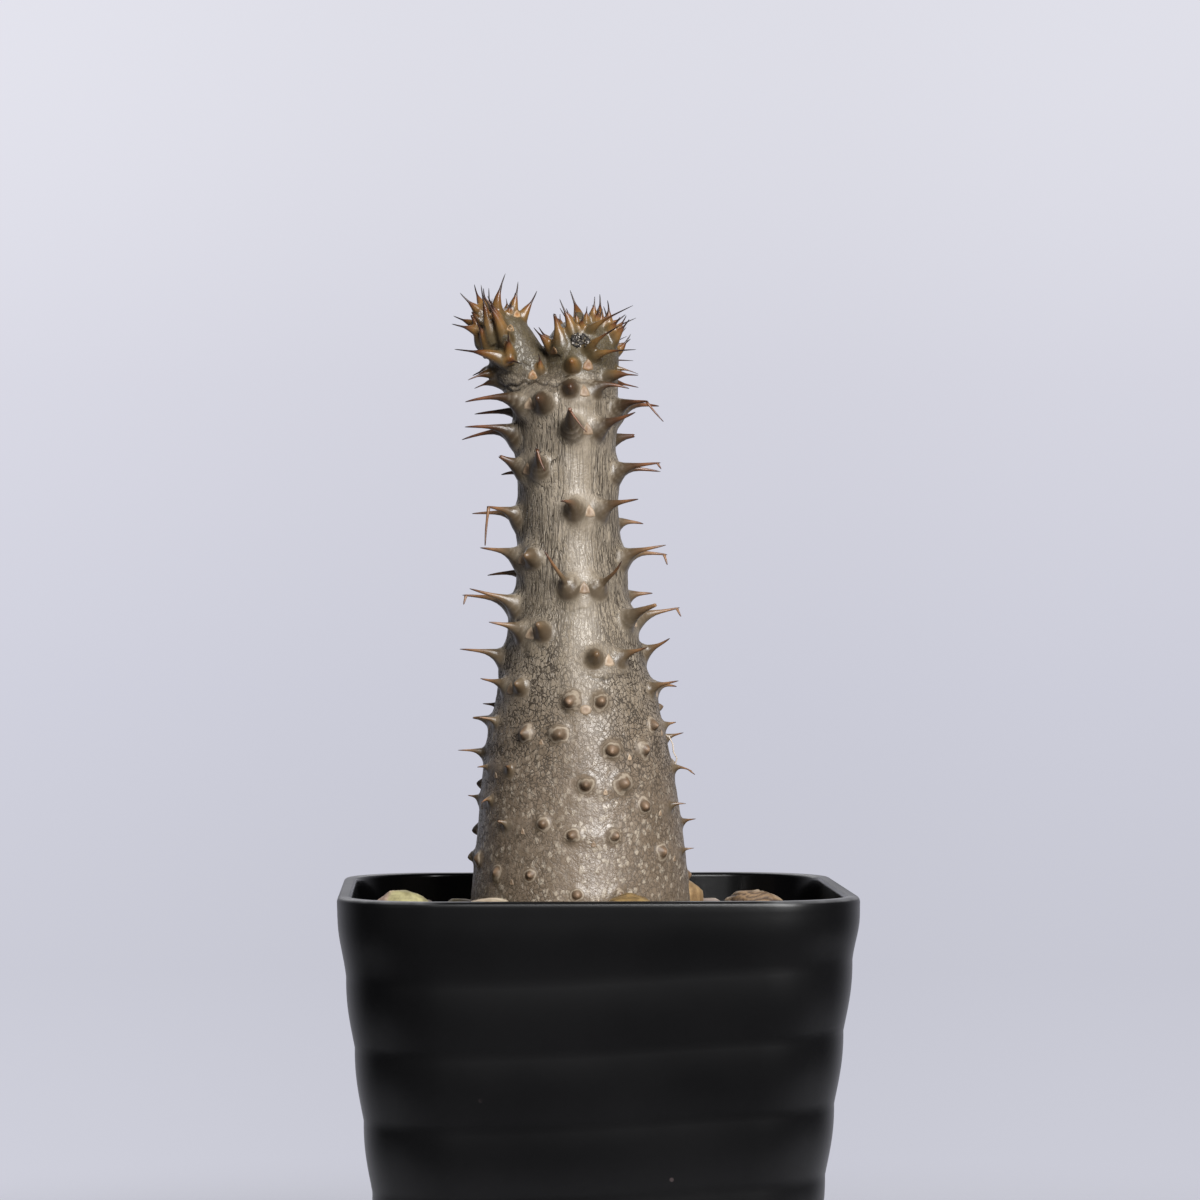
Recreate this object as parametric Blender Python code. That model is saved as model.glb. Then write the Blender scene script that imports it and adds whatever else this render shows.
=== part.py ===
"""A thorny pachypodium in a square black ceramic pot.

The origin is the middle of the pot's foot, +Z is up and -Y is the side the plant faces.
Sizes are written in millimetres and turned into metres by MM.
"""

import math
import random

import bmesh
import bpy
from mathutils import Matrix, Vector

MM = 0.001
GAP = 0.3  # clearance left between any two pieces that touch
SHARP_ANGLE = 50.0  # edges sharper than this, in degrees, aren't shaded smooth

# The pot, a rounded square that narrows to its foot
POT_WIDTH = 120.0
POT_HEIGHT = 115.0
POT_TAPER = 0.12  # how far each side comes in for each millimetre of depth
CORNER_SHARE = 0.37  # corner radius as a share of the half width
WALL = 3.3
LIP_ROUND = 1.1
FLOOR_THICKNESS = 5.0
FOOT_RECESS = 2.0
FOOT_WIDTH = 9.0
FOOT_ROUND = 1.5
DRAIN_RADIUS = 6.0
DRAIN_SIDES = 20
BAND_TOPS = (0.0, 17.1, 33.4, 50.3, 66.8, 83.0, 99.3)  # valleys between the bands, below the rim
BAND_BULGE = 0.5
BAND_SHARES = (0.78, 0.5, 0.22, 0.0)  # where each band's rings lie, from its bottom up to its top
BAND_TILT = 2.2  # how far the valleys lie lower on the left than in the middle
BAND_WOBBLE = 0.7
CORNER_STEPS = 6
SIDE_STEPS = 3
INSIDE_DEPTHS = (35.0, 70.0)

# What fills the pot
MESH_WIDTH = 30.0
MESH_THICKNESS = 1.2
MESH_HOLES = 4  # along each side
MESH_BAR = 1.4
GRAVEL_DEPTH = 14.0
SOIL_BELOW_RIM = 17.0

# The plant. Heights are above the pot's rim, and it stands turned a little in its pot
PLANT_TURN = -2.0
ROOT_TOP = -20.0  # below this the root is plain and lies in the soil
STEM_SIDES = 32
STEM_SECTIONS = (  # height, lean along X, radius
    (-52.0, -3.4, 6.0),
    (-44.0, -3.4, 13.0),
    (-32.0, -3.3, 22.0),
    (-20.0, -3.3, 26.6),
    (-3.0, -3.3, 26.0),
    (16.0, -3.3, 24.0),
    (33.0, -3.7, 21.7),
    (44.0, -3.8, 19.2),
    (55.0, -4.6, 16.6),
    (67.0, -4.8, 13.9),
    (79.0, -5.5, 12.5),
    (90.0, -6.0, 11.9),
    (100.0, -6.4, 11.8),
    (110.0, -6.8, 12.0),
    (116.0, -7.0, 12.4),
    (120.5, -7.2, 9.5),
    (122.5, -7.3, 4.0),
)
STEM_RING_STEP = 4.6
FLUTE_DEPTH = 0.012  # share of the radius
FLUTE_TURN = 17.0  # height in which the flutes turn by one radian
BRANCH_SIDES = 16
LEFT_BRANCH = (  # height, x, radius
    (110.0, -9.0, 6.6),
    (118.5, -14.0, 7.0),
    (125.5, -18.0, 6.5),
    (130.5, -20.5, 5.8),
    (134.0, -21.9, 4.6),
    (136.6, -22.6, 2.2),
)
RIGHT_BRANCH = (
    (110.0, -6.0, 9.4),
    (117.0, -4.2, 10.2),
    (122.5, -3.1, 9.2),
    (127.5, -2.7, 8.7),
    (131.5, -2.4, 7.0),
    (134.4, -2.2, 3.6),
)

# Thorns stand in pairs above a leaf scar. Forms: w whole, h hooked, d drooping, s snapped, n a worn nub
THORN_WHORLS = (  # thorn length, then the height, azimuth and forms of each pair
    (11.0, ((118.3, 22, "nw"),)),
    (13.0, ((115.3, -36, "wn"), (114.0, 84, "hw"), (113.0, 178, "ww"))),
    (11.5, ((109.3, 25, "sw"), (108.0, -90, "ww"), (106.5, 142, "ww"))),
    (11.0, ((100.0, -46, "sd"), (99.0, 90, "wh"), (98.5, -148, "ww"))),
    (11.0, ((90.0, 24, "nw"), (88.5, -92, "wd"), (86.3, 135, "ww"))),
    (11.0, ((78.8, -57, "wn"), (78.6, 88, "wh"), (74.0, -148, "ww"))),
    (11.5, ((72.0, 12, "ww"), (69.0, 132, "ww"), (67.5, -84, "wh"))),
    (10.5, ((64.0, 70, "sh"), (61.3, -39, "wn"), (59.5, -165, "ww"))),
    (9.5, ((56.0, 110, "wn"), (55.0, 28, "nw"), (55.0, -94, "ww"))),
    (8.0, ((48.5, 170, "ws"), (48.3, -54, "wn"), (47.5, 80, "ww"))),
    (6.0, ((44.2, 6, "nn"), (42.8, -122, "ww"), (42.0, 125, "nw"))),
    (5.5, ((39.6, -78, "sw"), (38.4, 68, "nw"), (38.0, -178, "wn"))),
    (5.0, ((36.6, -23, "nn"), (35.2, 116, "wn"), (34.8, -142, "nw"))),
    (5.0, ((33.0, 33, "nn"), (32.0, -100, "wn"), (31.0, 154, "ww"))),
    (4.6, ((28.6, -56, "wn"), (28.3, 94, "hn"), (27.0, -164, "nw"))),
    (4.4, ((25.0, 16, "nn"), (24.0, -116, "wn"), (23.5, 134, "nn"))),
    (4.4, ((21.2, -72, "wd"), (19.8, 52, "nw"), (19.0, 174, "nw"))),
    (4.0, ((15.8, -32, "sn"), (15.4, 104, "wn"), (13.2, -114, "wn"))),
    (3.4, ((13.0, 8, "nn"), (11.5, -160, "nn"), (9.0, 62, "nw"))),
    (3.2, ((8.5, 146, "nn"), (7.0, -80, "nn"), (4.0, -37, "nn"))),
    (2.8, ((2.5, 106, "nn"), (0.5, -138, "nn"), (-0.5, 10, "nn"))),
)
PAIR_SPREAD = 14.0  # degrees round the stem from the scar to each thorn's root
PAIR_ANGLE = 36.0  # degrees from straight out that each thorn points
WORN_PAIR_ANGLE = 18.0
THORN_RISE = 0.16  # climb for each unit outwards
THORN_RISE_CHANGE = 0.05
THORN_SIDES = 5
THORN_FULL = 12.0  # length that the profile below is drawn for
THORN_PROFILE = ((-0.20, 3.1), (0.14, 2.3), (0.46, 1.05))  # share of length, radius
NUB_PROFILE = ((-0.35, 2.5), (0.35, 1.8))
NUB_LENGTH = 4.2
THORN_DROP = 1.5  # how far a thorn's root lies below its needle
SNAPPED_SHARE = 0.62
BEND_SHARE = 0.86
BENT_NEEDLE = 0.3
FALLS = {"h": 3.2, "d": 4.8}  # how far a bent tip hangs down
CROWN_GIRTH = 0.72
LEFT_CROWN = (  # root x and height, tip x and height, how far the tip comes forward, form
    (-22.6, 126.6, -32.8, 127.1, 1.5, "w"),
    (-24.0, 122.3, -29.7, 120.0, 3.0, "w"),
    (-25.0, 120.2, -28.3, 118.3, -2.5, "w"),
    (-25.6, 131.4, -33.5, 133.3, 0.5, "w"),
    (-27.2, 133.0, -33.3, 135.7, -3.5, "w"),
    (-26.4, 134.0, -29.7, 137.6, 2.5, "s"),
    (-26.4, 135.6, -31.6, 140.9, 0.5, "w"),
    (-25.8, 136.2, -28.3, 143.3, -4.0, "w"),
    (-24.6, 136.6, -26.1, 142.3, -2.0, "w"),
    (-21.0, 130.9, -25.9, 137.8, 7.0, "w"),
    (-23.3, 135.2, -20.7, 145.2, 1.5, "w"),
    (-19.9, 135.9, -17.8, 143.5, 0.5, "w"),
    (-20.4, 134.9, -18.6, 141.6, -4.0, "w"),
    (-17.8, 134.6, -13.3, 141.4, 0.5, "w"),
    (-19.4, 127.5, -20.0, 131.4, 6.5, "s"),
    (-21.6, 124.6, -16.9, 123.5, 6.5, "w"),
    (-13.2, 122.4, -13.1, 126.4, 4.5, "n"),
)
RIGHT_CROWN = (
    (-9.6, 128.2, -14.0, 132.1, 4.0, "w"),
    (-7.8, 131.6, -9.5, 136.8, 3.0, "s"),
    (-5.4, 132.6, -7.6, 138.5, 1.0, "w"),
    (-2.6, 133.8, -5.5, 142.1, -2.0, "w"),
    (-0.4, 134.4, 0.4, 139.9, 0.0, "w"),
    (0.8, 134.0, 1.6, 141.1, -2.5, "w"),
    (3.0, 132.8, 3.4, 139.0, 1.5, "w"),
    (-1.0, 132.1, 9.5, 137.1, 6.0, "w"),
    (-1.0, 128.0, 7.1, 132.6, 7.5, "w"),
    (4.6, 130.2, 8.6, 134.3, 2.5, "w"),
    (5.4, 127.9, 9.0, 130.4, -3.0, "w"),
    (-4.5, 126.0, -5.3, 127.0, 3.5, "n"),
    (0.4, 126.1, 10.2, 126.6, 5.5, "w"),
    (5.6, 123.0, 10.8, 121.4, 0.5, "w"),
    (3.4, 121.2, 10.7, 120.7, 4.5, "w"),
    (-9.8, 124.6, -13.0, 127.0, -3.5, "w"),
)
FAR_SIDE_SHIFT = 1.6  # how differently the thorns stand on the side away from the viewer
CROWN_SEED = 5

# The stones that lie on the soil
TALL_STONES = (  # x, y, plan radius, height
    (-44.0, -13.0, 8.2, 16.6),
    (-24.0, -36.5, 8.8, 16.2),
    (8.2, -39.5, 9.2, 17.2),
    (18.5, 29.0, 9.0, 17.3),
    (38.0, -19.5, 9.8, 17.0),
)
STONE_SEED = 11
LOOSE_STONES = 33
STONE_RADII = (9.2, 5.4)
STONE_HEIGHT_SHARE = 0.66
STONE_SETTLE_STEPS = 420
STONES_MEET_STEM = -13.0  # height above the rim
SMALLEST_STONE = 4.0
STONE_WAVES = 4
STONE_SWELL = 0.035
STONE_SQUARENESS = 2.4  # 2 is a ball
STONE_NARROW = (0.8, 0.98)


def rim_height(above_rim):
    """A height above the rim, as Z in millimetres."""
    return POT_HEIGHT + above_rim


def turned(point):
    """A point of the plant's own frame, in the pot's frame."""
    return Matrix.Rotation(math.radians(PLANT_TURN), 3, "Z") @ Vector(point)


def blend_sections(sections, at):
    """Reads a table of sections, whose first column rises, with a smooth curve through its rows."""
    if at <= sections[0][0]:
        return sections[0][1:]
    if at >= sections[-1][0]:
        return sections[-1][1:]
    i = max(k for k in range(len(sections) - 1) if sections[k][0] <= at)
    a, b = sections[i], sections[i + 1]
    before, after = sections[max(i - 1, 0)], sections[min(i + 2, len(sections) - 1)]
    span = b[0] - a[0]
    t = (at - a[0]) / span
    mixed = []
    for k in range(1, len(a)):
        slope_a = (b[k] - before[k]) / (b[0] - before[0]) * span
        slope_b = (after[k] - a[k]) / (after[0] - a[0]) * span
        mixed.append(
            (2 * t**3 - 3 * t**2 + 1) * a[k]
            + (t**3 - 2 * t**2 + t) * slope_a
            + (3 * t**2 - 2 * t**3) * b[k]
            + (t**3 - t**2) * slope_b
        )
    return mixed


def material(name, colour, roughness):
    made = bpy.data.materials.new(name)
    made.use_nodes = True
    shader = made.node_tree.nodes["Principled BSDF"]
    shader.inputs["Base Color"].default_value = (*colour, 1.0)
    shader.inputs["Roughness"].default_value = roughness
    return made


def object_from(name, mesh, finish=None):
    if finish:
        mesh.materials.append(finish)
    obj = bpy.data.objects.new(name, mesh)
    bpy.context.scene.collection.objects.link(obj)
    return obj


def skin(name, rings, finish=None, closed_tip=None):
    """A closed body through rings of millimetre points, capped at both ends or drawn to a tip."""
    bm = bmesh.new()
    loops = [[bm.verts.new(Vector(p) * MM) for p in ring] for ring in rings]
    count = len(loops[0])
    for low, high in zip(loops, loops[1:]):
        for i in range(count):
            j = (i + 1) % count
            bm.faces.new((low[i], low[j], high[j], high[i]))
    bm.faces.new(list(reversed(loops[0])))
    if closed_tip is None:
        bm.faces.new(loops[-1])
    else:
        tip = bm.verts.new(Vector(closed_tip) * MM)
        for i in range(count):
            bm.faces.new((loops[-1][i], loops[-1][(i + 1) % count], tip))
    bmesh.ops.recalc_face_normals(bm, faces=bm.faces)
    mesh = bpy.data.meshes.new(name)
    bm.to_mesh(mesh)
    bm.free()
    return object_from(name, mesh, finish)


def smooth_shaded(obj):
    obj.data.shade_smooth()
    obj.data.set_sharp_from_angle(angle=math.radians(SHARP_ANGLE))
    return obj


def boolean(obj, other, operation):
    """Joins to obj, or cuts from it, an object or every object of a collection, then applies it."""
    step = obj.modifiers.new(operation.lower(), "BOOLEAN")
    step.operation = operation
    if isinstance(other, bpy.types.Collection):
        step.operand_type = "COLLECTION"
        step.collection = other
        helpers = list(other.objects)
    else:
        step.object = other
        helpers = [other]
    graph = bpy.context.evaluated_depsgraph_get()
    mesh = bpy.data.meshes.new_from_object(obj.evaluated_get(graph))
    obj.modifiers.clear()
    obj.data = mesh
    for helper in helpers:
        bpy.data.objects.remove(helper)
    return obj


# The pot


def square_outline(half, corner, z):
    """Points round a rounded square of that half width, anticlockwise from the +X side."""
    straight = half - corner
    points = []
    for quarter in range(4):
        turn = Matrix.Rotation(quarter * math.pi / 2, 2)
        for i in range(1, SIDE_STEPS):
            point = turn @ Vector((half, -straight + 2 * straight * i / SIDE_STEPS))
            points.append((*point, z))
        for i in range(CORNER_STEPS + 1):
            a = i * math.pi / 2 / CORNER_STEPS
            point = turn @ Vector((straight + corner * math.cos(a), straight + corner * math.sin(a)))
            points.append((*point, z))
    return points


def circle(radius, sides, z):
    turns = [k * math.tau / sides for k in range(sides)]
    return [(radius * math.cos(a), radius * math.sin(a), z) for a in turns]


def pot_half(depth):
    """Half the pot's outer width at a depth below the rim, without the bands' bulge."""
    return POT_WIDTH / 2 - POT_TAPER * depth


def pot_ring(half, depth):
    return square_outline(half, half * CORNER_SHARE, POT_HEIGHT - depth)


def band_shift(x, y):
    """How far the valleys lie lower at this side of the pot: most on the left, and a little uneven."""
    angle = math.atan2(y, x)
    return -BAND_TILT * math.cos(angle) + BAND_WOBBLE * math.sin(3 * angle + 0.6)


def banded_ring(depth, bulge, dip):
    """A ring of the outside, pushed out by bulge and bent along the valleys by the share dip."""
    ring = []
    for x, y, _ in pot_ring(pot_half(depth) + bulge, depth):
        down = depth + dip * band_shift(x, y)
        share = (pot_half(down) + bulge) / (pot_half(depth) + bulge)
        ring.append((x * share, y * share, POT_HEIGHT - down))
    return ring


def foot_rings():
    """From the recess under the floor, over the foot's flat ring, to the outer wall."""
    foot = pot_half(POT_HEIGHT)
    return [
        pot_ring(foot - FOOT_WIDTH, POT_HEIGHT - FOOT_RECESS),
        pot_ring(foot - FOOT_WIDTH, POT_HEIGHT),
        pot_ring(foot - FOOT_ROUND, POT_HEIGHT),
        pot_ring(foot, POT_HEIGHT - FOOT_ROUND),
    ]


def band_rings():
    """The outer wall from the foot up: bands that swell a little between narrow valleys."""
    bottoms = (*BAND_TOPS[1:], POT_HEIGHT - FOOT_ROUND)
    rings = []
    for top, bottom in reversed(list(zip(BAND_TOPS, bottoms))):
        for share in BAND_SHARES:
            depth = top + (bottom - top) * share
            if depth > 0:
                dip = min(1.0, depth / BAND_TOPS[1], (POT_HEIGHT - depth) / BAND_TOPS[1])
                rings.append(banded_ring(depth, BAND_BULGE * 4 * share * (1 - share), dip))
    return rings


def inside_rings():
    """Over the rounded lip and down the inner wall to the floor."""
    floor_depth = POT_HEIGHT - FOOT_RECESS - FLOOR_THICKNESS
    rings = [
        pot_ring(pot_half(LIP_ROUND), LIP_ROUND),
        pot_ring(pot_half(0) - LIP_ROUND, 0),
        pot_ring(pot_half(0) - WALL + LIP_ROUND, 0),
        pot_ring(pot_half(LIP_ROUND) - WALL, LIP_ROUND),
    ]
    return rings + [pot_ring(pot_half(depth) - WALL, depth) for depth in (*INSIDE_DEPTHS, floor_depth)]


def build_pot(finish):
    pot = skin("pot", foot_rings() + band_rings() + inside_rings(), finish)
    ends = (-1.0, FOOT_RECESS + FLOOR_THICKNESS + 1.0)
    drain = skin("drain_cutter", [circle(DRAIN_RADIUS, DRAIN_SIDES, z) for z in ends])
    boolean(pot, drain, "DIFFERENCE")
    return smooth_shaded(pot)


# What lies inside the pot


def fill_ring(z):
    """A ring just clear of the pot's inner wall at that height."""
    depth = POT_HEIGHT - z
    return pot_ring(pot_half(depth) - WALL - GAP, depth)


def build_drainage_mesh(finish):
    """A square net over the drain hole: a plate with a grid of square holes left out of it."""
    low = FOOT_RECESS + FLOOR_THICKNESS + GAP
    pitch = (MESH_WIDTH - MESH_BAR) / MESH_HOLES
    lines = []
    for k in range(MESH_HOLES + 1):
        start = -MESH_WIDTH / 2 + k * pitch
        lines += [start, start + MESH_BAR]
    bm = bmesh.new()
    verts = [[bm.verts.new(Vector((x, y, low)) * MM) for x in lines] for y in lines]
    for j in range(len(lines) - 1):
        for i in range(len(lines) - 1):
            if i % 2 == 0 or j % 2 == 0:
                bm.faces.new((verts[j][i], verts[j][i + 1], verts[j + 1][i + 1], verts[j + 1][i]))
    raised = bmesh.ops.extrude_face_region(bm, geom=list(bm.faces), use_keep_orig=True)["geom"]
    upper = [v for v in raised if isinstance(v, bmesh.types.BMVert)]
    bmesh.ops.translate(bm, vec=(0, 0, MESH_THICKNESS * MM), verts=upper)
    bmesh.ops.recalc_face_normals(bm, faces=bm.faces)
    mesh = bpy.data.meshes.new("drainage_mesh")
    bm.to_mesh(mesh)
    bm.free()
    return object_from("drainage_mesh", mesh, finish)


def build_gravel(finish):
    """The coarse layer under the soil, with a pocket for the net."""
    low = FOOT_RECESS + FLOOR_THICKNESS + GAP
    gravel = skin(
        "drainage_gravel",
        [fill_ring(low), fill_ring(low + GRAVEL_DEPTH / 2), fill_ring(low + GRAVEL_DEPTH)],
        finish,
    )
    half = MESH_WIDTH / 2 + GAP
    corners = ((-half, -half), (half, -half), (half, half), (-half, half))
    pocket = [[(*p, z) for p in corners] for z in (low - 1.0, low + MESH_THICKNESS + GAP)]
    boolean(gravel, skin("pocket_cutter", pocket), "DIFFERENCE")
    return gravel


def build_soil(finish):
    """Soil from the gravel to below the rim, with a plain hole for the stem's buried foot."""
    low = FOOT_RECESS + FLOOR_THICKNESS + 2 * GAP + GRAVEL_DEPTH
    top = rim_height(-SOIL_BELOW_RIM)
    soil = skin("soil", [fill_ring(low), fill_ring((low + top) / 2), fill_ring(top)], finish)
    boolean(soil, stem_body("stem_cutter", GAP, ROOT_TOP + STEM_RING_STEP), "DIFFERENCE")
    return soil


# The plant


def stem_ring(height, grow=0.0):
    """A section of the stem: a circle with three faint flutes that turn slowly on the way up."""
    lean, radius = blend_sections(STEM_SECTIONS, height)
    ring = []
    for k in range(STEM_SIDES):
        a = k * math.tau / STEM_SIDES
        r = radius * (1 + FLUTE_DEPTH * math.cos(3 * a + height / FLUTE_TURN)) + grow
        ring.append(turned((lean + r * math.cos(a), r * math.sin(a), rim_height(height))))
    return ring


def stem_body(name, grow=0.0, top=None):
    """The swollen stem and its root, or a copy of them grown by a clearance and cut off at top."""
    buried = [row[0] for row in STEM_SECTIONS if row[0] < ROOT_TOP]
    last = STEM_SECTIONS[-1][0] if top is None else top
    steps = round((last - ROOT_TOP) / STEM_RING_STEP)
    heights = buried + [ROOT_TOP + (last - ROOT_TOP) * i / steps for i in range(steps + 1)]
    rings = [stem_ring(height, grow) for height in heights]
    if grow:
        rings.insert(0, [p - Vector((0, 0, grow)) for p in rings[0]])
    return skin(name, rings)


def branch_rings(sections):
    """Rings square to a branch's line."""
    middles = [Vector((x, 0.0, rim_height(height))) for height, x, _ in sections]
    rings = []
    for i, (middle, section) in enumerate(zip(middles, sections)):
        along = (middles[min(i + 1, len(middles) - 1)] - middles[max(i - 1, 0)]).normalized()
        across = along.cross(Vector((0, 1, 0))).normalized()
        rings.append([
            turned(middle + section[2] * (across * math.cos(a) + Vector((0, math.sin(a), 0))))
            for a in (k * math.tau / BRANCH_SIDES for k in range(BRANCH_SIDES))
        ])
    return rings


def thorn(root, out, up, length, form, girth=1.0):
    """One thorn: a broad root sunk in the stem, drawn out to a needle. out and up are unit vectors."""
    profile, full = (NUB_PROFILE, NUB_LENGTH) if form == "n" else (THORN_PROFILE, THORN_FULL)
    size = girth * min(1.0, length / full) ** 0.7
    side = out.cross(up).normalized()

    def ring(middle, across, over):
        turns = [k * math.tau / THORN_SIDES for k in range(THORN_SIDES)]
        return [middle + across * math.cos(a) + over * math.sin(a) for a in turns]

    rings = []
    for share, radius in profile:
        rooted = max(0.0, 1 - 2 * max(share, 0.0))  # 1 at the skin, 0 from half way out
        middle = root + out * share * length - up * THORN_DROP * size * rooted**2
        rings.append(ring(middle, side * radius * size, up * radius * size * (1 + 0.3 * rooted)))
    if form == "s":
        tip = root + out * length * SNAPPED_SHARE
    elif form in FALLS:
        bend = root + out * length * BEND_SHARE
        rings.append(ring(bend, side * BENT_NEEDLE, (out + up) * BENT_NEEDLE))
        tip = bend + (out * 0.35 - up) * FALLS[form] * size
    else:
        tip = root + out * length
    return skin("thorn", rings, closed_tip=tip)


def stem_thorns(height, azimuth, length, forms):
    """The pair of thorns at a leaf scar on the main stem."""
    lean, radius = blend_sections(STEM_SECTIONS, height)
    angle = WORN_PAIR_ANGLE if forms == "nn" else PAIR_ANGLE
    made = []
    for side, form in zip((-1, 1), forms):
        at = math.radians(azimuth + side * PAIR_SPREAD)
        root = Vector((lean + radius * math.sin(at), -radius * math.cos(at), rim_height(height)))
        facing = math.radians(azimuth + side * angle)
        rise = THORN_RISE + THORN_RISE_CHANGE * math.sin(height * 1.7 + side)
        out = Vector((math.sin(facing), -math.cos(facing), rise)).normalized()
        up = (Vector((0, 0, 1)) - out * out.z).normalized()
        made.append(thorn(turned(root), turned(out), turned(up), length, form))
    return made


def crown_thorn(sections, row, far=False):
    """One thorn of a branch, from its root's place on the skin to its tip."""
    root_x, root_height, tip_x, tip_height, forward, form = row
    middle, radius = blend_sections(sections, root_height)
    offset = max(-radius, min(radius, root_x - middle))
    depth = math.sqrt(radius**2 - offset**2) * (1 if far or forward < 0 else -1)
    root = Vector((middle + offset, depth, rim_height(root_height)))
    tip = Vector((tip_x, depth + (forward if far else -forward), rim_height(tip_height)))
    out = (tip - root).normalized()
    up = Vector((0, 0, 1)) if abs(out.z) < 0.8 else Vector((math.copysign(1, -out.x), 0, 0))
    up = (up - out * out.dot(up)).normalized()
    return thorn(turned(root), turned(out), turned(up), (tip - root).length, form, CROWN_GIRTH)


def crown_thorns(sections, rows):
    """The thorns that face the viewer, and their like on the far side, each a little shifted."""
    rng = random.Random(CROWN_SEED)
    made = [crown_thorn(sections, row) for row in rows]
    for row in rows:
        if row[4] > 1.0:
            shift = [rng.uniform(-1, 1) * FAR_SIDE_SHIFT for _ in range(5)]
            made.append(crown_thorn(sections, (*map(sum, zip(row, shift)), row[5]), far=True))
    return made


def build_plant(finish):
    """Stem, root, both branches and every thorn, grown together as one body."""
    plant = stem_body("plant")
    limbs = bpy.data.collections.new("limbs")
    bpy.context.scene.collection.children.link(limbs)
    grown = [
        skin("left_branch", branch_rings(LEFT_BRANCH)),
        skin("right_branch", branch_rings(RIGHT_BRANCH)),
    ]
    for length, pairs in THORN_WHORLS:
        for height, azimuth, forms in pairs:
            grown += stem_thorns(height, azimuth, length, forms)
    grown += crown_thorns(LEFT_BRANCH, LEFT_CROWN) + crown_thorns(RIGHT_BRANCH, RIGHT_CROWN)
    for limb in grown:
        bpy.context.scene.collection.objects.unlink(limb)
        limbs.objects.link(limb)
    boolean(plant, limbs, "UNION")
    bpy.data.collections.remove(limbs)
    plant.data.materials.clear()
    plant.data.materials.append(finish)
    return smooth_shaded(plant)


# The stones


def core_point(spot, half):
    """The nearest point of the square that the rounded corners of a half width turn about."""
    core = half * (1 - CORNER_SHARE)
    return Vector((max(-core, min(core, spot.x)), max(-core, min(core, spot.y))))


def kept_inside(spot, radius, half):
    """The spot, moved so that a stone of that radius lies inside the wall."""
    reach = half - radius
    spot = Vector((max(-reach, min(reach, spot.x)), max(-reach, min(reach, spot.y))))
    out = spot - core_point(spot, half)
    free = max(half * CORNER_SHARE - radius, 0.0)
    if min(abs(out.x), abs(out.y)) > 0 and out.length > free:
        spot = core_point(spot, half) + out.normalized() * free
    return spot


def room_to_wall(spot, half):
    out = spot - core_point(spot, half)
    if min(abs(out.x), abs(out.y)) > 0:
        return half * CORNER_SHARE - out.length
    return half - max(abs(spot.x), abs(spot.y))


def push_apart(away, clear):
    """The push that brings two plan points as far apart as clear, if they are nearer."""
    short = clear - away.length
    return away.normalized() * short if short > 0 else Vector((0.0, 0.0))


def settled_stones():
    """Each stone's place, plan radius and height, after they have pushed each other apart."""
    rng = random.Random(STONE_SEED)
    half = pot_half(SOIL_BELOW_RIM) - WALL - 2 * GAP
    lean, stem_radius = blend_sections(STEM_SECTIONS, STONES_MEET_STEM)
    stem, stem_radius = turned((lean, 0, 0)).xy, stem_radius + 2 * GAP
    pinned = len(TALL_STONES)
    spots = [turned((x, y, 0)).xy for x, y, _, _ in TALL_STONES]
    radii = [radius for _, _, radius, _ in TALL_STONES]
    heights = [height for _, _, _, height in TALL_STONES]
    for k in range(LOOSE_STONES):
        largest, smallest = STONE_RADII
        radii.append(largest + (smallest - largest) * k / (LOOSE_STONES - 1))
        heights.append(2 * radii[-1] * STONE_HEIGHT_SHARE)
        spots.append(Vector((rng.uniform(-half, half), rng.uniform(-half, half))))
    for _ in range(STONE_SETTLE_STEPS):
        for i in range(pinned, len(spots)):
            push = push_apart(spots[i] - stem, stem_radius + radii[i])
            for j in range(len(spots)):
                if j != i:
                    share = 1.0 if j < pinned else 0.5
                    push += share * push_apart(spots[i] - spots[j], radii[i] + radii[j] + GAP)
            spots[i] = kept_inside(spots[i] + push, radii[i], half)
    for i in range(pinned, len(spots)):
        room = [radii[i], (spots[i] - stem).length - stem_radius, room_to_wall(spots[i], half)]
        for j in range(len(spots)):
            between = (spots[i] - spots[j]).length - GAP
            if j < i:
                room.append(between - radii[j])
            elif j > i:
                room.append(between * radii[i] / (radii[i] + radii[j]))
        radii[i] = min(room)
    return [stone for stone in zip(spots, radii, heights) if stone[1] > SMALLEST_STONE]


def stone_mesh(name, radius, height, rng):
    """A worn stone: a lump between a ball and a cube, with a few broad swellings."""
    bm = bmesh.new()
    bmesh.ops.create_icosphere(bm, subdivisions=2, radius=1.0)
    waves = []
    for _ in range(STONE_WAVES):
        direction = Vector([rng.gauss(0, 1) for _ in range(3)]).normalized()
        waves.append((direction, rng.uniform(2.8, 5.2), rng.uniform(0, math.tau)))
    narrow = rng.uniform(*STONE_NARROW)
    turn = Matrix.Rotation(rng.uniform(0, math.tau), 3, "Z")
    for vert in bm.verts:
        n = vert.co.normalized()
        swell = sum(math.sin(often * n.dot(direction) + start) for direction, often, start in waves)
        reach = sum(abs(c) ** STONE_SQUARENESS for c in n) ** (-1 / STONE_SQUARENESS)
        lump = n * reach * (1 + STONE_SWELL * swell)
        vert.co = turn @ Vector((lump.x, lump.y * narrow, lump.z))
    widest = max(vert.co.xy.length for vert in bm.verts)
    bottom = min(vert.co.z for vert in bm.verts)
    top = max(vert.co.z for vert in bm.verts)
    bmesh.ops.translate(bm, vec=(0, 0, -bottom), verts=bm.verts)
    grow = Vector((radius / widest, radius / widest, height / (top - bottom)))
    bmesh.ops.scale(bm, vec=grow * MM, verts=bm.verts)
    bmesh.ops.recalc_face_normals(bm, faces=bm.faces)
    mesh = bpy.data.meshes.new(name)
    bm.to_mesh(mesh)
    bm.free()
    return mesh


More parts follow.
